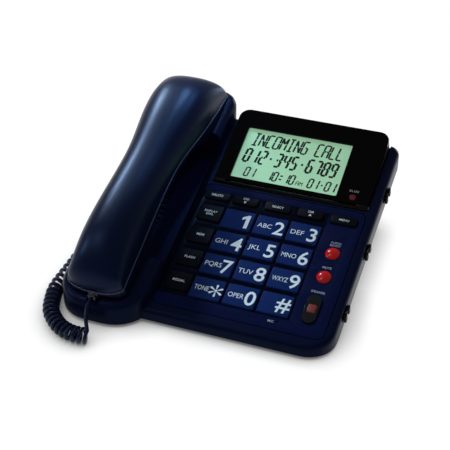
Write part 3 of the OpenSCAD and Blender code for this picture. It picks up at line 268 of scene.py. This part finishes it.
coated(steel, "base_microphone", "display_hinge_pins", "battery_contacts", "base_screws")
coated(black, "base_speaker", "line_jack", "base_cord_jack", "slide_controls", "hook_switch")
coated(board_green, "main_circuit_board")
coated(cell_jacket, "battery_cells")
dressed("hook_plunger", black, "hook", "black_plastic", edge=0.0003)
for name in ("ringer_slide", "speaker_slide", "handset_slide"):
    dressed(name, black, name + "_body", "black_plastic", edge=0.0005)

# Faceplate: a flat navy moulding that drops into the deck and leaves a narrow groove all round.
# Its words are printed in thin white ink, and painted shade makes it near-black behind and between the keys.
# Places on the deck are given in millimetres from the top of the middle key.
DECK_SLOPE = radians(17)
PLATE_Z = -1.2
SHADE_RIGHT = 37.7
SHADE_FRONT = -53.4
SHADE_REAR = 45.2
INK = 0.06
INK_Z = 0.02
INK_SLOT = "button_silver"
CAPITAL = 0.729
WORD_BOLD = 0.004
deck = Matrix.Translation(MIDDLE_KEY) @ Matrix.Rotation(DECK_SLOPE, 4, "X") @ Matrix.Scale(0.001, 4)
faceplate_navy = moulded("faceplate_navy", shade(15, 23, 62), shade(13, 20, 55), 0.28, 0.04, 2600, 0.05,
                         0.05, BLUE_GLEAM)
dressed("keypad_faceplate", faceplate_navy, "base", "navy_plastic", edge=0.00035)

plate_nodes = faceplate_navy.node_tree
plate_skin = plate_nodes.nodes["Principled BSDF"]
plate_place = plate_nodes.nodes.new("ShaderNodeTexCoord")
plate_axes = plate_nodes.nodes.new("ShaderNodeSeparateXYZ")
plate_nodes.links.new(plate_place.outputs["Object"], plate_axes.inputs["Vector"])
# Painted shade: inside these edges, over the key field, the faceplate's colour is mixed to near-black.
key_field_shade = None
for axis, test, edge in (("X", "LESS_THAN", (deck @ Vector((SHADE_RIGHT, 0, PLATE_Z))).x),
                         ("Y", "GREATER_THAN", (deck @ Vector((0, SHADE_FRONT, PLATE_Z))).y),
                         ("Y", "LESS_THAN", (deck @ Vector((0, SHADE_REAR, PLATE_Z))).y)):
    side = plate_nodes.nodes.new("ShaderNodeMath")
    side.operation = test
    side.inputs[1].default_value = edge
    plate_nodes.links.new(plate_axes.outputs[axis], side.inputs[0])
    if key_field_shade:
        both = plate_nodes.nodes.new("ShaderNodeMath")
        both.operation = "MULTIPLY"
        plate_nodes.links.new(key_field_shade.outputs["Value"], both.inputs[0])
        plate_nodes.links.new(side.outputs["Value"], both.inputs[1])
        side = both
    key_field_shade = side
# The near-black colour of the painted shade between and around the keys.
plate_shade_mix = plate_nodes.nodes.new("ShaderNodeMix")
plate_shade_mix.data_type = "RGBA"
plate_shade_mix.inputs["B"].default_value = shade(4, 5, 18)
plate_nodes.links.new(key_field_shade.outputs["Value"], plate_shade_mix.inputs["Factor"])
plate_nodes.links.new(plate_skin.inputs["Base Color"].links[0].from_socket, plate_shade_mix.inputs["A"])
plate_nodes.links.new(plate_shade_mix.outputs["Result"], plate_skin.inputs["Base Color"])
ink_white = moulded("ink_white", shade(238, 250, 255), shade(228, 244, 250), 0.55, 0.05, 900, 0.05)
ink_faint = moulded("ink_faint", shade(186, 195, 208), shade(174, 183, 198), 0.55, 0.05, 900, 0.05)


def print_text(name, words, plane, at, height, material, body, bold=0.0, span=0.0):
    """Words printed in raised ink, centred on a point of a plane given in millimetres."""
    curve = bpy.data.curves.new(name, "FONT")
    curve.body = words
    curve.size = 1
    curve.offset = bold
    curve.extrude = INK/height/2
    curve.resolution_u = 3
    curve.align_x = "CENTER"
    source = bpy.data.objects.new(name + "_text", curve)
    scene.collection.objects.link(source)
    data = bpy.data.meshes.new_from_object(source.evaluated_get(bpy.context.evaluated_depsgraph_get()))
    bpy.data.objects.remove(source)
    bpy.data.curves.remove(curve)
    mesh = bmesh.new()
    mesh.from_mesh(data)
    bpy.data.meshes.remove(data)
    xs = [v.co.x for v in mesh.verts]
    ys = [v.co.y for v in mesh.verts]
    size = height/(CAPITAL + words.count("\n"))
    wide = span/(max(xs) - min(xs)) if span else size
    middle = Vector(((min(xs) + max(xs))/2, (min(ys) + max(ys))/2, 0))
    scaled = Matrix.Diagonal((wide, size, size, 1)) @ Matrix.Translation(-middle)
    bmesh.ops.transform(mesh, verts=mesh.verts, matrix=plane @ Matrix.Translation(at) @ scaled)
    return placed(name, mesh, material, body, INK_SLOT)


for words, x, y in (("AUDIO\nBOOST", 50, 18.3), ("MUTE", 50, -3.6), ("SPEAKER", 50, -25.4), ("MIC", 26, -57)):
    word_name = "word_" + words.split()[-1].lower()
    height = 4.2 if "\n" in words else 1.9
    print_text(word_name, words, deck, (x, y, PLATE_Z + INK_Z), height, ink_faint, "base", WORD_BOLD)

# Dial keys: slightly lighter navy keys that ride on the rubber mat and show through the faceplate.
# The digit is printed large on the right, the letters small on the left.
KEY_ACROSS = 25
KEY_ALONG = 21.6
KEY_CREASE = 25
KEY_EDGE = 0.0004
DIGIT_HIGH = 12.2
DIGIT_BOLD = 0.012
DIGIT_RIGHT = {"1": 5.8, "*": 6.6, "#": 5.6}
DIGIT_RIGHT_ELSE = 6.8
DIGIT_DROP = 0.6
STAR_HIGH = 17.5
STAR_WIDE = 9.6
LETTERS_HIGH = 4.2
LETTERS_LEFT = 9.4
LETTERS_DROP = 0.4
ONE = ((0.2, -6.1), (2.9, -6.1), (2.9, 6.1), (0.9, 6.1), (-2.8, 3.7), (-2.8, 1.2), (0.2, 2.9))
key_navy = moulded("key_navy", shade(25, 47, 104), shade(22, 42, 96), 0.28, 0.04, 2200, 0.05,
                   0.05, BLUE_GLEAM)
for i, (key, digit, letters, span) in enumerate((
        ("1", "1", "", 0), ("2", "2", "ABC", 10.6), ("3", "3", "DEF", 9.8),
        ("4", "4", "GHI", 9.2), ("5", "5", "JKL", 9.0), ("6", "6", "MNO", 10.8),
        ("7", "7", "PQRS", 12.4), ("8", "8", "TUV", 10.8), ("9", "9", "WXYZ", 11.4),
        ("star", "*", "TONE", 10.6), ("0", "0", "OPER", 11.4), ("hash", "#", "", 0))):
    node = "key_" + key
    body = node + "_body"
    x = (i % 3 - 1)*KEY_ACROSS
    y = (1 - i//3)*KEY_ALONG
    dressed(node, key_navy, body, "key_navy", KEY_CREASE, KEY_EDGE)
    digit_name = "digit_" + key
    digit_at = (x + DIGIT_RIGHT.get(digit, DIGIT_RIGHT_ELSE), y - DIGIT_DROP, INK_Z)
    if digit == "1":
        one = bmesh.new()
        face = one.faces.new([one.verts.new((px, py, 0)) for px, py in ONE])
        for v in bmesh.ops.extrude_face_region(one, geom=[face])["geom"]:
            if isinstance(v, bmesh.types.BMVert):
                v.co.z += INK
        bmesh.ops.recalc_face_normals(one, faces=one.faces)
        bmesh.ops.transform(one, verts=one.verts, matrix=deck @ Matrix.Translation(digit_at))
        placed(digit_name, one, ink_white, body, INK_SLOT)
    elif digit == "*":
        print_text(digit_name, digit, deck, digit_at, STAR_HIGH, ink_white, body, span=STAR_WIDE)
    else:
        print_text(digit_name, digit, deck, digit_at, DIGIT_HIGH, ink_white, body, DIGIT_BOLD)
    if letters:
        letters_at = (x - LETTERS_LEFT + span/2, y - LETTERS_DROP, INK_Z)
        print_text("letters_" + key, letters, deck, letters_at, LETTERS_HIGH, ink_white, body, span=span)

# Function and bar keys: near-black keys left of and above the dial keys, with small white words.
# They are moulded as the dial keys are, and stand on the same rubber mat.
FUNCTION_X = -46.9
FUNCTION_LIFT = 1.6
BAR_Y = 40.5
BAR_LIFT = 1.6
BAR_WORD_HIGH = 2
ARROW_R = 1.3
ARROW_Y = 39
key_black = moulded("key_black", shade(6, 8, 20), shade(5, 7, 17), 0.42, 0.05, 2200, 0.08, 0.06)
for i, (node, words) in enumerate((("key_display_dial", "DISPLAY\nDIAL"), ("key_memory", "MEM"),
                                   ("key_flash", "FLASH"), ("key_redial", "REDIAL"))):
    body = node + "_body"
    dressed(node, key_black, body, "key_black", KEY_CREASE, KEY_EDGE)
    height = 4.6 if "\n" in words else 2.1
    word_at = (FUNCTION_X, (1 - i)*KEY_ALONG + FUNCTION_LIFT, INK_Z)
    print_text("word_" + node[4:], words, deck, word_at, height, ink_white, body, WORD_BOLD)
for node, words, x in (("key_delete", "DELETE", -47.6), ("key_scroll_down", "CID", -25.4),
                       ("key_select", "SELECT", -0.3), ("key_scroll_up", "DIR", 24.7),
                       ("key_menu", "MENU", 49.8)):
    body = node + "_body"
    dressed(node, key_black, body, "key_black", KEY_CREASE, KEY_EDGE)
    lift = BAR_LIFT if words in ("CID", "DIR") else 0
    word_at = (x, BAR_Y + lift, INK_Z)
    print_text("word_" + node[4:], words, deck, word_at, BAR_WORD_HIGH, ink_white, body, WORD_BOLD)
    if lift:
        arrow = bmesh.new()
        bmesh.ops.create_cone(arrow, cap_ends=True, segments=3, radius1=ARROW_R, radius2=ARROW_R, depth=INK)
        turned = Matrix.Rotation(pi if words == "CID" else 0, 4, "Z")
        arrow_place = deck @ Matrix.Translation((x, ARROW_Y, INK_Z)) @ turned
        bmesh.ops.transform(arrow, verts=arrow.verts, matrix=arrow_place)
        placed("arrow_" + words.lower(), arrow, ink_white, body, INK_SLOT)

# Round buttons and speaker button: glossy red domes, and a black capsule with an orange light.
# They press on the rubber mat through holes in the faceplate; the light is set into its capsule.
button_red = moulded("button_red", shade(222, 4, 10), shade(200, 6, 12), 0.2, 0.03, 1200, 0.02, 0.4)
for node in ("button_boost", "button_mute"):
    dressed(node, button_red, node + "_body", "button_red", crease=50)
capsule_black = moulded("capsule_black", shade(7, 8, 15), shade(9, 10, 18), 0.2, 0.04, 1500, 0.04, 0.3)
dressed("button_speaker", capsule_black, "button_speaker_body", "button_silver",
        crease=30, edge=0.0012, segments=5)
lamp_orange = moulded("lamp_orange", shade(138, 44, 30), shade(122, 36, 24), 0.3, 0.04, 900, 0.03, 0.5)
dressed("speaker_light", lamp_orange, "button_speaker_body", "lamp_orange", crease=30, edge=0.0006)

# Key mat: a sheet of grey rubber with a dome under every key and button, moulded in one piece.
# It lies on the circuit board; each dome, which flattens as its key is pressed, is cut out here as a still
# piece of its own.
DOME_HIGH = 1.7
mat_rubber = moulded("mat_rubber", shade(176, 178, 180), shade(164, 166, 170), 0.7, 0.08, 1500, 0.1)
sheet = bmesh.new()
sheet.from_mesh(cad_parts["key_mat"].data)
bmesh.ops.remove_doubles(sheet, verts=sheet.verts, dist=WELD)
bmesh.ops.transform(sheet, verts=sheet.verts, matrix=deck.inverted())
sheet_top = max(v.co.z for v in sheet.verts) - DOME_HIGH
dome_faces = [f for f in sheet.faces if max(v.co.z for v in f.verts) > sheet_top + DOME_HIGH/2]
middles = {}
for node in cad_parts:
    if node.startswith(("key_", "button_")) and node != "key_mat":
        corners = [deck.inverted() @ v.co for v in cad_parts[node].data.vertices]
        middles[node] = Vector([(min(c[k] for c in corners) + max(c[k] for c in corners))/2 for k in (0, 1)])
under = {node: [] for node in middles}
for f in dome_faces:
    centre = f.calc_center_median().xy
    under[min(middles, key=lambda node: (middles[node] - centre).length)].append(f)
sheet.faces.index_update()
for node, faces in under.items():
    kept = {f.index for f in faces}
    dome = sheet.copy()
    dome.faces.index_update()
    bmesh.ops.delete(dome, geom=[f for f in dome.faces if f.index not in kept], context="FACES")
    bmesh.ops.holes_fill(dome, edges=[e for e in dome.edges if e.is_boundary], sides=0)
    bmesh.ops.recalc_face_normals(dome, faces=dome.faces)
    bmesh.ops.transform(dome, verts=dome.verts, matrix=deck)
    dome_piece = placed("dome_" + node, dome, mat_rubber, "base", "mat_rubber")
    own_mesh(dome_piece)
bmesh.ops.delete(sheet, geom=dome_faces, context="FACES")
bmesh.ops.holes_fill(sheet, edges=[e for e in sheet.edges if e.is_boundary], sides=0)
bmesh.ops.recalc_face_normals(sheet, faces=sheet.faces)
bmesh.ops.transform(sheet, verts=sheet.verts, matrix=deck)
placed("mat_sheet", sheet, mat_rubber, "base", "mat_rubber", "key_mat")

# Display: a black case that turns on two pins, with a glossy black window printed round the screen.
# The liquid crystal lies in the window's opening, mint green, and its characters are dark segments.
# A small red lamp at the lower right shows that the line is in use.
HINGE = (0, 57.6, -2.9)
LEAN_BACK = radians(7)
WINDOW_Z = 3.5
SCREEN_X = -3.6
SCREEN_Y = 27.7
SCREEN_Z = 0.5
SCREEN_W = 83
SCREEN_H = 48.4
SCREEN_THICK = 1.9
SCREEN_LAP = 1
SCREEN_GLOW = 0.36
OPENING_Z = 2.5
OPENING_DEEP = 6
tilted = deck @ Matrix.Translation(HINGE) @ Matrix.Rotation(LEAN_BACK, 4, "X")
dressed("display_case", black, "display", "black_plastic", edge=0.0003)
window_black = moulded("window_black", shade(4, 4, 6), shade(3, 3, 5), 0.12, 0.02, 400, 0.0, 0.06)
window = dressed("display_window", window_black, "display", "window_black")
opening = bmesh.new()
bmesh.ops.create_cube(opening, size=1)
upright = [e for e in opening.edges if abs(e.verts[0].co.z - e.verts[1].co.z) > 0.5]
bmesh.ops.bevel(opening, geom=upright, offset=0.02, offset_type="OFFSET", affect="EDGES", segments=4,
                profile=0.5, material=-1)
opening_place = tilted @ Matrix.Translation((SCREEN_X, SCREEN_Y, OPENING_Z))
opening_size = Matrix.Diagonal((SCREEN_W, SCREEN_H, OPENING_DEEP, 1))
bmesh.ops.transform(opening, verts=opening.verts, matrix=opening_place @ opening_size)
opening_data = bpy.data.meshes.new("opening")
opening.to_mesh(opening_data)
opening.free()
cutter = bpy.data.objects.new("opening", opening_data)
scene.collection.objects.link(cutter)
cut = window.modifiers.new("screen_opening", "BOOLEAN")
cut.operation = "DIFFERENCE"
cut.object = cutter
cut.solver = "EXACT"
bpy.context.view_layer.update()
cut_data = bpy.data.meshes.new_from_object(window.evaluated_get(bpy.context.evaluated_depsgraph_get()))
window.modifiers.clear()
window.data = cut_data
bpy.data.objects.remove(cutter)

screen_green = moulded("screen_green", shade(172, 222, 184), shade(160, 213, 172), 0.35, 0.05, 600, 0.02, 0.4)
screen_skin = screen_green.node_tree.nodes["Principled BSDF"]
screen_skin.inputs["Emission Color"].default_value = shade(172, 222, 184)
screen_skin.inputs["Emission Strength"].default_value = SCREEN_GLOW
screen = bmesh.new()
bmesh.ops.create_cube(screen, size=1)
screen_place = tilted @ Matrix.Translation((SCREEN_X, SCREEN_Y, SCREEN_Z))
screen_size = Matrix.Diagonal((SCREEN_W + SCREEN_LAP, SCREEN_H + SCREEN_LAP, SCREEN_THICK, 1))
bmesh.ops.transform(screen, verts=screen.verts, matrix=screen_place @ screen_size)
bmesh.ops.bevel(screen, geom=screen.edges[:], offset=0.0002, offset_type="OFFSET", affect="EDGES",
                segments=2, profile=0.5, material=-1)
placed("screen", screen, screen_green, "display", "lcd_green", "lcd_module")

# A cell of segments, one unit wide and high: the two ends of each stroke, and each character's strokes.
STROKES = {"a": ((0, 1), (1, 1)), "b": ((1, 1), (1, .5)), "c": ((1, .5), (1, 0)), "d": ((0, 0), (1, 0)),
           "e": ((0, .5), (0, 0)), "f": ((0, 1), (0, .5)), "g": ((0, .5), (.5, .5)),
           "h": ((.5, .5), (1, .5)), "i": ((0, 1), (.5, .5)), "j": ((.5, 1), (.5, .5)),
           "k": ((1, 1), (.5, .5)), "m": ((.5, .5), (.5, 0)), "n": ((.5, .5), (1, 0)),
           "dash": ((.2, .5), (.8, .5)), "upper": ((.1, .7), (.9, .7)), "lower": ((.1, .3), (.9, .3))}
CELLS = {"0": "abcdef", "1": "bc", "2": "abghed", "3": "abghcd", "4": "fghbc", "5": "afghcd",
         "6": "afghcde", "7": "abc", "8": "abcdefgh", "9": "abcdfgh", "-": ("dash",),
         ":": ("upper", "lower"), "A": "abcefgh", "C": "adef", "G": "acdefh", "I": "adjm", "L": "def",
         "M": "bcefik", "N": "bcefin", "O": "abcdef", " ": ""}
SLANT = 0.12
SEGMENT_GAP = 0.35
SEGMENT_Z = 1.47
segment_dark = moulded("segment_dark", shade(24, 34, 30), shade(18, 28, 24), 0.5, 0.05, 900, 0.02)


def segment_row(name, words, x, y, width, height, step, stroke):
    """A row of slanted characters on the screen, each made of dark bars."""
    mesh = bmesh.new()
    for place, letter in enumerate(words):
        for part in CELLS[letter]:
            (ax, ay), (bx, by) = STROKES[part]
            a = Vector((x + place*step + ax*width + ay*height*SLANT, y + ay*height, SEGMENT_Z))
            b = Vector((x + place*step + bx*width + by*height*SLANT, y + by*height, SEGMENT_Z))
            way = b - a
            turned = way.to_track_quat("X", "Z").to_matrix().to_4x4()
            sized = Matrix.Diagonal((way.length - stroke*SEGMENT_GAP, stroke, INK, 1))
            bar = bmesh.ops.create_cube(mesh, size=1)["verts"]
            bar_place = tilted @ Matrix.Translation((a + b)/2) @ turned @ sized
            bmesh.ops.transform(mesh, verts=bar, matrix=bar_place)
    return placed(name, mesh, segment_dark, "display", "window_black")


left = SCREEN_X - SCREEN_W/2
low = SCREEN_Y - SCREEN_H/2
segment_row("row_name", "INCOMING CALL", left + 6, low + 33, 4, 11.5, 5.6, 1.35)
segment_row("row_number", "012-345-6789", left + 4, low + 17, 3.8, 12, 6.2, 1.8)
segment_row("row_time", "10:10", left + 27, low + 4, 3, 8, 4.4, 1.2)
segment_row("row_half", "AM", left + 50, low + 4, 2, 3.4, 2.9, 0.55)
segment_row("row_date", "01-01", left + 59, low + 4, 3, 8, 4.4, 1.2)
segment_row("row_count", "01", left + 9, low + 4, 3, 8, 4.6, 1.1)

backlight_white = moulded("backlight_white", shade(232, 234, 232), shade(222, 226, 224), 0.6, 0.05, 500, 0.02)
coated(backlight_white, "lcd_backlight")
lamp_red = moulded("lamp_red", shade(120, 12, 26), shade(104, 8, 20), 0.2, 0.04, 700, 0.02, 0.5)
dressed("in_use_light", lamp_red, "display", "lamp_red", crease=40, edge=0.0006)
in_use_at = (50, 10.6, WINDOW_Z + INK_Z)
print_text("word_in_use", "IN USE", tilted, in_use_at, 1.8, ink_faint, "display", WORD_BOLD)

# Handset: a domed back shell that seats on the front shell's ledge, both in the housing's navy plastic.
# The caps hold the receiver and the microphone; screws in the grip join the shells over a steel weight.
# A thin pale bead round the ledge is a painted highlight along its edge, and each end of the cord has a clear
# plug.
HANDSET_X = -94.5
HANDSET_Y = 26.998
HANDSET_L = 211
EAR = 26
GRIP = 19.5
MOUTH = 21
SWELL = HANDSET_L/2 - 33
END_RUN = 8
TIP = 0.25
GRIP_DOME = 20
END_DOME = 25
DOME_RUN = 38
DOME_ROUND = 2/2.4
SEAM_LOW = 17
SEAM_ARCH = 10
SEAM_GAP = 0.02
LEDGE = 0.7
HIGHLIGHT_R = 0.0004
HIGHLIGHT_STEPS = 240
HIGHLIGHT_SIDES = 8
handset_navy = moulded("handset_navy", shade(9, 17, 47), shade(8, 15, 43), 0.36, 0.03, 2600, 0.03,
                       0.24, BLUE_GLEAM)
handset_place = deck @ Matrix.Translation((HANDSET_X, HANDSET_Y, 0))


def eased(x):
    """A smooth rise from 0 to 1."""
    return 0 if x <= 0 else 1 if x >= 1 else (1 - cos(pi*x))/2


def ending(u, run):
    """What is left at u of a form that rounds off over the last run of the handset."""
    past = abs(u) - HANDSET_L/2 + run
    return 1 if past <= 0 else sqrt(max(0, 1 - (past/run)**2))


def half_width(u):
    """Half the shell's width at u, from the narrow grip to the wide ends."""
    end = EAR if u > 0 else MOUTH
    return (GRIP + (end - GRIP)*eased(abs(u)/SWELL))*ending(u, END_RUN)


def seam_height(u):
    """The height of the seam at u, which arches over the trough."""
    return SEAM_LOW + SEAM_ARCH*(1 - (2*u/HANDSET_L)**2)


def joined(mesh, rings):
    """Faces between each ring of a tube and the next."""
    for first, second in zip(rings, rings[1:]):
        for k in range(len(first)):
            mesh.faces.new((first[k - 1], first[k], second[k], second[k - 1]))


back = bmesh.new()
bmesh.ops.create_grid(back, x_segments=96, y_segments=48, size=1)
for v in back.verts:
    u = (HANDSET_L/2 - TIP)*sin(v.co.x*pi/2)
    turn = (1 - v.co.y)*pi/2
    across = cos(turn)
    side = 1 if across > 0 else -1
    dome = (GRIP_DOME + (END_DOME - GRIP_DOME)*eased(abs(u)/SWELL))*ending(u, DOME_RUN)
    v.co = handset_place @ Vector((side*half_width(u)*abs(across)**DOME_ROUND, u,
                                   seam_height(u) + SEAM_GAP + dome*abs(sin(turn))**DOME_ROUND))
bmesh.ops.holes_fill(back, edges=[e for e in back.edges if e.is_boundary], sides=0)
bmesh.ops.recalc_face_normals(back, faces=back.faces)
smoothed(back, crease=40)
placed("visual_handset_back_shell", back, handset_navy, "handset", "navy_plastic", "handset_back_shell")
dressed("handset_front_shell", handset_navy, "handset", "navy_plastic", crease=35)

# Painted highlight: a thin pale tube along the ledge's edge stands in for the light that the edge catches.
ledge_highlight = moulded("ledge_highlight", shade(74, 90, 128), shade(68, 83, 120), 0.3, 0.03, 1600, 0.03, 0.4)
highlight_line = []
for i in range(HIGHLIGHT_STEPS):
    around = 2*pi*i/HIGHLIGHT_STEPS
    u = (HANDSET_L/2 - TIP)*sin(around)
    side = 1 if cos(around) > 0 else -1
    out = side*(half_width(u) + LEDGE/2)
    highlight_line.append(handset_place @ Vector((out, u*(1 + LEDGE/HANDSET_L), seam_height(u))))
highlight_bead = bmesh.new()
highlight_rings = []
for i, p in enumerate(highlight_line):
    heading = (highlight_line[(i + 1) % HIGHLIGHT_STEPS] - highlight_line[i - 1]).normalized()
    turned = heading.to_track_quat("Z", "Y").to_matrix().to_4x4()
    ring = bmesh.ops.create_circle(highlight_bead, segments=HIGHLIGHT_SIDES, radius=HIGHLIGHT_R)["verts"]
    bmesh.ops.transform(highlight_bead, verts=ring, matrix=Matrix.Translation(p) @ turned)
    highlight_rings.append(ring)
joined(highlight_bead, highlight_rings + highlight_rings[:1])
bmesh.ops.recalc_face_normals(highlight_bead, faces=highlight_bead.faces)
smoothed(highlight_bead, crease=90)
placed("ledge_painted_highlight", highlight_bead, ledge_highlight, "handset", "clear_plug")

coated(steel, "handset_receiver", "handset_microphone", "handset_screws")
weight_iron = moulded("weight_iron", shade(110, 108, 104), shade(92, 90, 88), 0.6, 0.1, 500, 0.3)
coated(weight_iron, "handset_weight")
clear_plug = moulded("clear_plug", shade(40, 43, 56), shade(33, 36, 48), 0.2, 0.04, 700, 0.02, 0.5)
dressed("handset_plug", clear_plug, "handset", "clear_plug", edge=0.0004)
dressed("base_plug", clear_plug, "base", "clear_plug", edge=0.0004)

# Curly cord: a thin four-wire cord in a navy jacket, set in curls, that lies on the table.
# It runs from the plug in the mouth end round the front and the left of the base to the jack there.
CORD_D = 0.0028
CORD_SIDES = 10
CURL_R = 0.0047
CURLS = 43.5
CURL_STEPS = 20
BUNCH = 0.25
OFF_TABLE = 0.0003
AXIS_STEPS = 8
AXIS_REACH = 0.0015
TAIL_STEPS = 5
PLUG_OUT = 3
PLUG_Z = 13
coil_z = CURL_R + CORD_D/2 + OFF_TABLE
coil_axis = [Vector((x/1000, y/1000)) for x, y in (
    (-61.45, -125.1), (-66.95, -126.1), (-73.85, -125.8), (-81.65, -123.3), (-89.05, -118.2),
    (-98.35, -107.9), (-104.85, -91.7), (-106.85, -82.7), (-107.35, -71.5), (-107.75, -57.5),
    (-108.55, -39.5), (-110.15, -21.5), (-112.35, -3.5), (-114.55, 16.5), (-115.75, 36.5),
    (-115.35, 52.5), (-113, 66))]


def through(points, steps):
    """Points along the smooth curve through the given ones."""
    made = []
    for i in range(len(points) - 1):
        a, b, c, d = (points[min(max(k, 0), len(points) - 1)] for k in (i - 1, i, i + 1, i + 2))
        for k in range(steps):
            t = k/steps
            made.append(0.5*(2*b + (c - a)*t + (2*a - 5*b + 4*c - d)*t*t + (3*b - a - 3*c + d)*t**3))
    return made + [points[-1]]


axis_line = through(coil_axis, AXIS_STEPS)
axis_run = [0.0]
for a, b in zip(axis_line, axis_line[1:]):
    axis_run.append(axis_run[-1] + (b - a).length)
axis_length = axis_run[-1]


def on_axis(s):
    """The point of the coil's axis at a run of s from its start."""
    s = min(max(s, 0), axis_length)
    i = max(k for k in range(len(axis_run) - 1) if axis_run[k] <= s)
    return axis_line[i].lerp(axis_line[i + 1], (s - axis_run[i])/(axis_run[i + 1] - axis_run[i]))


def curl_place(count):
    """Place on the axis up to which there are so many curls; they lie closer at the ends."""
    t = count/CURLS
    for _ in range(12):
        t -= (t + BUNCH*sin(2*pi*t)/(2*pi) - count/CURLS)/(1 + BUNCH*cos(2*pi*t))
    return t*axis_length


coil = []
for i in range(int(CURLS*CURL_STEPS) + 1):
    s = curl_place(i/CURL_STEPS)
    angle = pi/2 - 2*pi*i/CURL_STEPS
    heading = (on_axis(s + AXIS_REACH) - on_axis(s - AXIS_REACH)).normalized()
    p = on_axis(s)
    out = CURL_R*cos(angle)
    coil.append(Vector((p.x - heading.y*out, p.y + heading.x*out, coil_z + CURL_R*sin(angle))))
plug_end = Vector((HANDSET_X, HANDSET_Y - HANDSET_L/2 - PLUG_OUT, PLUG_Z))
handset_tail = [deck @ plug_end, deck @ (plug_end - Vector((0, 1000*CORD_D, 0)))]
handset_tail += [deck @ plug_end + Vector(p)/1000 for p in (
    (0.4, -7.4, -2.2), (1.3, -11.4, -4.6), (2.8, -14.9, -7.4), (4.3, -17.4, -9.6))]
base_end = Vector((-0.09235, 0.068, 0.011))
base_tail = [Vector(p)/1000 for p in (
    (-109.4, 66.8, 1.7), (-106, 67.6, 2.6), (-102.6, 68, 5), (-99.8, 68, 8), (-97.2, 68, 10.2))]
base_tail += [base_end - Vector((CORD_D, 0, 0)), base_end]
cord_path = through(handset_tail + [coil[0]], TAIL_STEPS)[:-1] + coil
cord_path += through([coil[-1]] + base_tail, TAIL_STEPS)[1:]

cord = bmesh.new()
normal = Vector((0, 0, 1))
cord_rings = []
for i, p in enumerate(cord_path):
    heading = (cord_path[min(i + 1, len(cord_path) - 1)] - cord_path[max(i - 1, 0)]).normalized()
    normal = (normal - heading*normal.dot(heading)).normalized()
    turned = Matrix((normal, heading.cross(normal), heading)).transposed().to_4x4()
    ring = bmesh.ops.create_circle(cord, segments=CORD_SIDES, radius=CORD_D/2)["verts"]
    bmesh.ops.transform(cord, verts=ring, matrix=Matrix.Translation(p) @ turned)
    cord_rings.append(ring)
joined(cord, cord_rings)
bmesh.ops.holes_fill(cord, edges=[e for e in cord.edges if e.is_boundary], sides=0)
bmesh.ops.recalc_face_normals(cord, faces=cord.faces)
for f in cord.faces:
    f.smooth = len(f.verts) == 4
cord_navy = moulded("cord_navy", shade(11, 14, 46), shade(9, 12, 40), 0.3, 0.05, 1600, 0.05, 0.4, BLUE_GLEAM)
curly_cord = placed("curly_cord", cord, cord_navy, None, "cord_navy", "handset_cord")
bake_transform(curly_cord)
